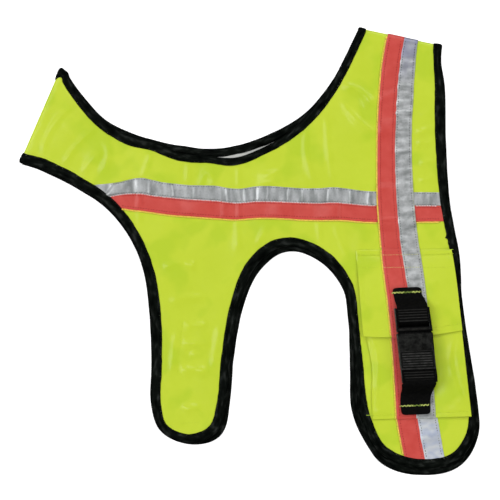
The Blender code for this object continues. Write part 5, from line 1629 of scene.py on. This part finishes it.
# The ends of the rows, caught over the bindings, and the sewn patch under the leg.
centre, ahead = joined([
    row_of_stitches(between((178.6, 1.2), (183.4, 1.4), 8), lambda x, y: x * 0 + NEAR_Z + HALF + 0.12, 2.2, start=0.4, stop=0.2, seed=26),
    row_of_stitches(between((104.2, -147.8), (109.6, -148.0), 8), lambda x, y: x * 0 + NEAR_Z + HALF + 0.02, 2.2, start=0.4, stop=0.2, seed=27),
])
extras.append(stitches("caught_ends", centre, ahead, 2.2, 0.24, "yellow", lift=0.9))
leg_rows = [
    row_of_stitches(between((-66.4, -155.2), (-45.2, -154.0), 12), lambda x, y: near_low(x, y) + SHELL_HIGH, 2.6, seed=28),
    row_of_stitches(between((-61.6, -64.6), (-66.4, -110.2), 20), lambda x, y: near_low(x, y) + SHELL_HIGH, 2.6, seed=29),
]
centre, ahead = joined(leg_rows)
extras.append(stitches("patch_rows", centre, ahead, 1.7, 0.12, "olive", lift=0.3))


# -------------------------------------------------------------- strap and buckle
def on_strap(u, v):
    c, s = math.cos(STRAP_TURN), math.sin(STRAP_TURN)
    u = u + STRAP_SKEW * v
    return STRAP_AT[0] + v * c + u * s, STRAP_AT[1] + v * s - u * c


def top_of_flap_tape(u):
    x, y = on_strap(u, 0)
    return float(flap_low(x, y)) + CLOTH + GAP + TAPE + GAP


def top_of_pocket_tape(u):
    x, y = on_strap(u, 0)
    return float(pocket_low(x, y)) + CLOTH + GAP + TAPE + GAP


seat = BUCKLE_Z + 3.3
#   down the strap, underside, share of the width, to the right
STRAP_UPPER = [
    ("end", -41.1, top_of_flap_tape(-41.1) + 0.35, 0.97, -3.0),
    ("sewn", -39.6, top_of_flap_tape(-39.6) + 0.35, 1.03, -3.0),
    ("flat", -35.0, top_of_flap_tape(-35.0) + 0.3, 1.04, -2.7),
    ("rise", -31.0, top_of_flap_tape(-31.0) + 0.35, 1.08, -1.8),
    ("bend", -27.6, seat - 2.2, 1.11, -0.9),
    ("over_bar", -24.2, seat + 0.2, 1.125, 0.0),
    ("in_buckle", -20.5, seat + 0.35, 1.125, 0.0),
    ("inner_end", -10.8, seat + 0.35, 1.125, 0.0),
    ("dive", -8.9, seat - 1.2, 1.12, 0.0),
    ("under", -6.2, 11.2, 1.10, 0.0),
    ("below", -2.0, 10.9, 1.10, 0.0),
]
STRAP_LOWER = [
    ("inner_end", 32.8, seat + 0.3, 1.19, 0.0),
    ("in_buckle", 44.4, seat + 0.3, 1.19, 0.0),
    ("over_bar", 46.0, seat + 0.0, 1.26, -0.8),
    ("bend", 49.8, seat - 1.9, 1.19, -2.0),
    ("fall", 54.6, top_of_pocket_tape(54.6) + 1.6, 1.13, -4.2),
    ("flat", 60.5, top_of_pocket_tape(60.5) + 0.35, 1.10, -5.6),
    ("sewn", 66.0, top_of_pocket_tape(66.0) + 0.3, 1.09, -6.0),
    ("tucked", 72.0, top_of_pocket_tape(72.0) + 0.3, 1.05, -6.2),
    ("end", 73.8, top_of_pocket_tape(73.8) + 0.35, 0.99, -6.2),
]


def webbing_strip(name, node, rows, ribbed, rounded, seed):
    """A strap over a profile, with cross ribs that stand out inside the buckle."""
    curve = smooth(rows, 24)
    arc = np.concatenate([[0], np.cumsum(np.linalg.norm(np.diff(curve[:, :2], axis=0), axis=1))])
    at = np.linspace(0, arc[-1], int(arc[-1] / 0.3) + 1)
    u, z, wide, aside = (np.interp(at, arc, curve[:, k]) for k in range(4))
    du, dz = np.gradient(u, at), np.gradient(z, at)
    t = inset(np.linspace(0, 1, 31), 24.0)
    across = 2 * t - 1
    points, run = [], []
    strong = ramp((u - ribbed[0]) / 1.5) * ramp((ribbed[1] - u) / 1.5)
    for level in (0, 1):
        rib = (0.5 + 0.5 * np.cos(2 * math.pi * (u - ribbed[0]) / 2.4)) ** 1.7
        rib = (0.45 * strong * rib + 0.05 * (1 - strong) * (0.5 + 0.5 * np.cos(2 * math.pi * u / 1.2)))[:, None]
        edge = np.exp(-(((1 - np.abs(across)) / 0.05) ** 2))[None]
        thick = (WEB - 0.15) * level - 0.22 * edge * (1 if level else -1)
        h = thick + (rib * (1 - edge) if level else 0) + (0.10 * value_noise(at[:, None], across[None] * 12, 4.0, seed) if level else 0)
        half = wide * WEB_WIDTH / 2 + 0.10 * value_noise(at, at * 0, 1.1, seed + 1)
        # The corners of a sewn end are rounded off.
        for where, sign in rounded:
            off = np.abs(at - (0 if where == "start" else at[-1]))
            half = half - 2.6 * (1 - np.sqrt(np.clip(1 - (1 - np.clip(off / 2.6, 0, 1)) ** 2, 0, 1)))
        uu = u[:, None] - dz[:, None] * h
        vv = aside[:, None] + half[:, None] * across[None]
        zz = z[:, None] + du[:, None] * h
        x, y = on_strap(uu, vv)
        points.append(np.stack([x.ravel(), y.ravel(), zz.ravel()], axis=1))
        # The third value is how far a rib's crest stands up, which the webbing paints paler as a highlight.
        painted_highlight_crest = np.broadcast_to(rib * (1 - edge), vv.shape) * level
        run.append(np.stack([np.repeat(at[:, None], len(t), 1).ravel(), vv.ravel(), painted_highlight_crest.ravel()], axis=1))
    rows_n, columns = len(at), len(t)
    size = rows_n * columns
    quads = grid_faces(rows_n, columns)
    faces = [tuple(f) for f in quads] + [tuple(f + size) for f in quads[:, ::-1]]
    edge = (
        [(0, c) for c in range(columns)] + [(r, columns - 1) for r in range(1, rows_n)]
        + [(rows_n - 1, c) for c in range(columns - 2, -1, -1)] + [(r, 0) for r in range(rows_n - 2, 0, -1)]
    )
    for (r, c), (s, d) in zip(edge, edge[1:] + edge[:1]):
        faces.append((s * columns + d, r * columns + c, r * columns + c + size, s * columns + d + size))
    obj = finish_mesh(name, np.vstack(points), faces, [WEB_MAT], run=np.vstack(run), sharp=50)
    bm = bmesh.new()
    bm.from_mesh(obj.data)
    bmesh.ops.recalc_face_normals(bm, faces=bm.faces)
    bm.to_mesh(obj.data)
    bm.free()
    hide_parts(node)
    return obj, (at, u, z, wide, aside)


upper_strap, upper_line = webbing_strip("upper_webbing", "strap_upper", STRAP_UPPER, (-23.2, -9.6), [("start", 1)], 51)
lower_strap, lower_line = webbing_strip("lower_webbing", "strap_lower", STRAP_LOWER, (33.2, 43.6), [("end", 1)], 52)


def bar_tack(u_at, line, left, right, seed):
    """A short zigzag row sewn across a strap's end, in bright thread."""
    at, u, z, wide, aside = line
    height = float(np.interp(u_at, u, z)) + WEB - 0.05
    middle = float(np.interp(u_at, u, aside))
    rng = np.random.default_rng(seed)
    v = np.arange(left, right, 1.55)
    centres, ahead = [], []
    for k, a in enumerate(v):
        for sign in (1, -1):
            lean = 0.32 * (1 if (k % 2) else -1) + rng.uniform(-0.1, 0.1)
            x, y = on_strap(u_at + sign * 0.28 + rng.uniform(-0.1, 0.1), a + rng.uniform(-0.15, 0.15))
            x1, y1 = on_strap(u_at + lean, a + 0.5)
            x0, y0 = on_strap(u_at - lean, a - 0.5)
            drop = 0.0 if middle - 12.4 < a < middle + 12.4 else -1.2
            centres.append((x, y, height + drop + 0.1))
            ahead.append((x1 - x0, y1 - y0, 0.0))
    return np.array(centres), np.array(ahead)


for tag, spans, thick, colour in (
    ("ends", ((-16.2, -6.6, -19.6, -8.6), (2.0, 10.2, -0.8, 8.0)), 0.22, "tack"),
    ("middle", ((-6.6, 2.0, -8.6, -0.8),), 0.14, "tack_thin"),
):
    rows = []
    for a, b, c, d in spans:
        rows += [bar_tack(-36.8, upper_line, a, b, 61), bar_tack(65.5, lower_line, c, d, 62)]
    centre, ahead = joined(rows)
    extras.append(stitches(f"webbing_tack_{tag}", centre, ahead, 1.9, thick, colour, lift=0.8))


class Solid:
    """Rounded blocks in the strap's frame, gathered into one mesh."""

    def __init__(self):
        self.bm = bmesh.new()

    def block(self, u0, u1, v0, v1, z0, z1, bevel=0.5, segments=3, lean=0.0, taper=0.0):
        bm = bmesh.new()
        bmesh.ops.create_cube(bm, size=1)
        for v in bm.verts:
            top = v.co.z > 0
            u = (u0 + u1) / 2 + v.co.x * ((u1 - u0) - (taper if top else 0))
            w = (v0 + v1) / 2 + v.co.y * ((v1 - v0) - (taper if top else 0))
            z = (z0 + z1) / 2 + v.co.z * (z1 - z0) + (lean * v.co.x if top else 0)
            v.co = Vector((u, w, z))
        if bevel:
            bmesh.ops.bevel(bm, geom=bm.edges[:], offset=bevel, segments=segments, profile=0.5, affect="EDGES", clamp_overlap=True)
        mesh = bpy.data.meshes.new("scratch")
        bm.to_mesh(mesh)
        bm.free()
        self.bm.from_mesh(mesh)
        bpy.data.meshes.remove(mesh)
        return self

    def outline(self, points, z0, z1, bevel=0.5, segments=3):
        """A plate cut to an outline of (u, v) points."""
        bm = bmesh.new()
        low = [bm.verts.new((u, v, z0)) for u, v in points]
        high = [bm.verts.new((u, v, z1)) for u, v in points]
        bm.faces.new(low[::-1])
        bm.faces.new(high)
        for i in range(len(points)):
            j = (i + 1) % len(points)
            bm.faces.new((low[i], low[j], high[j], high[i]))
        bmesh.ops.recalc_face_normals(bm, faces=bm.faces)
        if bevel:
            flat_edges = [e for e in bm.edges if abs(e.verts[0].co.z - e.verts[1].co.z) < 1e-6]
            bmesh.ops.bevel(bm, geom=flat_edges, offset=bevel, segments=segments, profile=0.5, affect="EDGES", clamp_overlap=True)
        mesh = bpy.data.meshes.new("scratch")
        bm.to_mesh(mesh)
        bm.free()
        self.bm.from_mesh(mesh)
        bpy.data.meshes.remove(mesh)
        return self

    def finish(self, name, node):
        for v in self.bm.verts:
            x, y = on_strap(v.co.x, v.co.y)
            v.co = Vector(((x - MIDDLE[0]) * MM, (y - MIDDLE[1]) * MM, v.co.z * MM))
        bmesh.ops.recalc_face_normals(self.bm, faces=self.bm.faces)
        mesh = bpy.data.meshes.new(name)
        self.bm.to_mesh(mesh)
        self.bm.free()
        mesh.materials.append(PLASTIC_MAT)
        mesh.shade_smooth()
        mesh.set_sharp_from_angle(angle=math.radians(35))
        obj = bpy.data.objects.new(name, mesh)
        bpy.context.scene.collection.objects.link(obj)
        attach(obj, "root")
        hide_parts(node)
        return obj


def rounded(u0, u1, half0, half1, r, steps=6, ends=(True, True)):
    """Outline of a plate from u0 to u1, half0 wide at the start and half1 at the end,
    with rounded corners."""
    corners = [(u0, half0), (u1, half1), (u1, -half1), (u0, -half0)]
    keep = [ends[0], ends[1], ends[1], ends[0]]
    out = []
    for k, (corner, soft) in enumerate(zip(corners, keep)):
        here, before, after = np.array(corner), np.array(corners[k - 1]), np.array(corners[(k + 1) % 4])
        if not soft:
            out.append(tuple(here))
            continue
        a = (before - here) / np.linalg.norm(before - here)
        b = (after - here) / np.linalg.norm(after - here)
        for i in range(steps + 1):
            s = i / steps
            p = here + a * r * (1 - s) ** 2 + b * r * s**2
            out.append(tuple(p))
    return out


# The tongue half: two rails, a bar the strap goes over, and a bar at the parting line.
tongue = Solid()
tongue.outline([(-22.6, -16.5), (-22.6, -13.9), (-1.0, -13.9), (-1.0, -16.3)], 12.7, 17.7, 0.6)
tongue.outline([(-22.6, 13.8), (-22.6, 15.3), (-1.0, 16.3), (-1.0, 14.2)], 12.7, 17.7, 0.6)
tongue.block(-5.3, -1.3, -15.8, 15.8, 12.6, 17.5, 0.6)
tongue.block(-4.4, -2.2, -14.3, 14.3, 17.2, 17.9, 0.3)
tongue.block(-22.4, -18.6, -14.6, 14.6, 12.7, 15.3, 0.7)
tongue.block(-22.9, -20.8, -16.6, -14.2, 14.6, 18.2, 0.7)
tongue.block(-22.9, -20.8, 13.7, 15.4, 14.6, 18.2, 0.6)
tongue.block(-1.5, 0.8, -15.0, 15.0, 12.9, 15.2, 0.3)
tongue.block(-0.9, 9.6, -8.6, 8.6, 14.3, 16.6, 0.5)
tongue_half = tongue.finish("buckle_tongue", "buckle_tongue_half")

# The socket half: a body with a smooth plate, a ribbed press pad in a frame, and two
# rails round the strap's seat.
socket = Solid()
body = [(u, v - 0.3) for u, v in rounded(0.1, 33.0, 16.4, 16.1, 1.1, ends=(True, False))]
socket.outline(body, 12.6, 19.3, bevel=0.9, segments=3)
plate = [(u, v - 0.2) for u, v in rounded(0.7, 15.6, 15.5, 15.3, 0.9)]
socket.outline(plate, 18.9, 20.0, bevel=0.45, segments=3)
socket.block(16.0, 16.9, -15.4, 15.4, 18.8, 20.35, 0.3)
socket.block(16.4, 32.6, -15.9, -14.8, 18.8, 20.4, 0.3)
socket.block(16.4, 32.6, 14.8, 15.9, 18.8, 20.4, 0.3)
socket.block(31.7, 32.9, -15.7, 15.7, 18.8, 20.5, 0.35)
pad = rounded(17.5, 31.2, 14.1, 14.1, 1.0)
socket.outline(pad, 18.8, 19.4, bevel=0.2, segments=2)
for k in range(6):
    socket.block(18.1 + 2.24 * k, 19.25 + 2.24 * k, -13.4, 13.4, 19.2, 20.75 - 0.05 * abs(k - 2.5), 0.4, 3)
socket.block(32.4, 45.0, -16.1, -14.1, 12.7, 18.6, 0.7)
socket.block(32.4, 45.0, 14.1, 16.1, 12.7, 18.6, 0.7)
socket.block(40.4, 44.4, -14.6, 14.6, 12.8, 15.3, 0.8)
socket_half = socket.finish("buckle_socket", "buckle_socket_half")


# ------------------------------------------------------------------------ scene
def floor():
    m = Nodes(
        "ground", (0.93, 0.93, 0.93), 0.9, Specular_IOR_Level=0.1,
        Emission_Color=(1.0, 1.0, 1.0, 1.0), Emission_Strength=0.6,
    )
    m.colour(m.mix(m.ramp(m.noise(60, 3), 0.3, 0.7), (0.925, 0.925, 0.925), (0.935, 0.935, 0.935)))
    mesh = bpy.data.meshes.new("ground")
    mesh.from_pydata([(-6, -6, 0), (6, -6, 0), (6, 6, 0), (-6, 6, 0)], [], [(0, 1, 2, 3)])
    mesh.materials.append(m.material)
    obj = bpy.data.objects.new("ground", mesh)
    bpy.context.scene.collection.objects.link(obj)
    return obj


def area_light(name, at, size, power, mirrored=True, lights=True):
    """A rectangle of light that faces the vest. One that isn't mirrored lights the
    cloth's own colour only, so that black stays black, and one that doesn't light
    only shows as a soft shine on what leans towards it."""
    data = bpy.data.lights.new(name, "AREA")
    data.shape, data.size, data.size_y, data.energy = "RECTANGLE", size[0], size[1], power
    obj = bpy.data.objects.new(name, data)
    obj.location = at
    obj.rotation_euler = (-Vector(at)).to_track_quat("-Z", "Y").to_euler()
    obj.visible_glossy = mirrored
    obj.visible_diffuse = lights
    bpy.context.scene.collection.objects.link(obj)


ground = floor()
ground.visible_glossy = False
world = bpy.data.worlds.new("studio")
bpy.context.scene.world = world
world.use_nodes = True
world.node_tree.nodes["Background"].inputs["Color"].default_value = (0.97, 0.985, 1.0, 1)
world.node_tree.nodes["Background"].inputs["Strength"].default_value = 0.06
area_light("wide_left", (-7.6, 1.3, 7.4), (4.6, 7.0), 515, mirrored=False)
area_light("wide_top", (0.8, 8.0, 7.6), (7.0, 4.6), 485, mirrored=False)
area_light("wide_right", (7.4, -0.6, 7.8), (4.6, 7.0), 430, mirrored=False)
area_light("wide_low", (-0.6, -7.6, 7.8), (7.0, 4.6), 270, mirrored=False)
area_light("window_left", (-2.75, 0.3, 8.6), (1.1, 4.2), 31)
area_light("window_top", (0.6, 2.75, 8.6), (3.4, 1.0), 19)
area_light("shine_left", (-6.2, 0.5, 6.6), (4.0, 5.0), 150, lights=False)
area_light("shine_top", (0.5, 6.4, 5.2), (5.0, 3.6), 75, lights=False)

camera = bpy.data.cameras.new("camera")
camera.lens, camera.sensor_width = 800.0, 36.0
camera_obj = bpy.data.objects.new("camera", camera)
camera_obj.location = (0.0006, 0.0009, 10.006)
camera_obj.rotation_euler = (0, 0, 0)
bpy.context.scene.collection.objects.link(camera_obj)
bpy.context.scene.camera = camera_obj
camera.clip_end = 50.0

bpy.context.scene.view_settings.view_transform = "Standard"
bpy.context.scene.view_settings.look = "None"

bpy.context.view_layer.update()
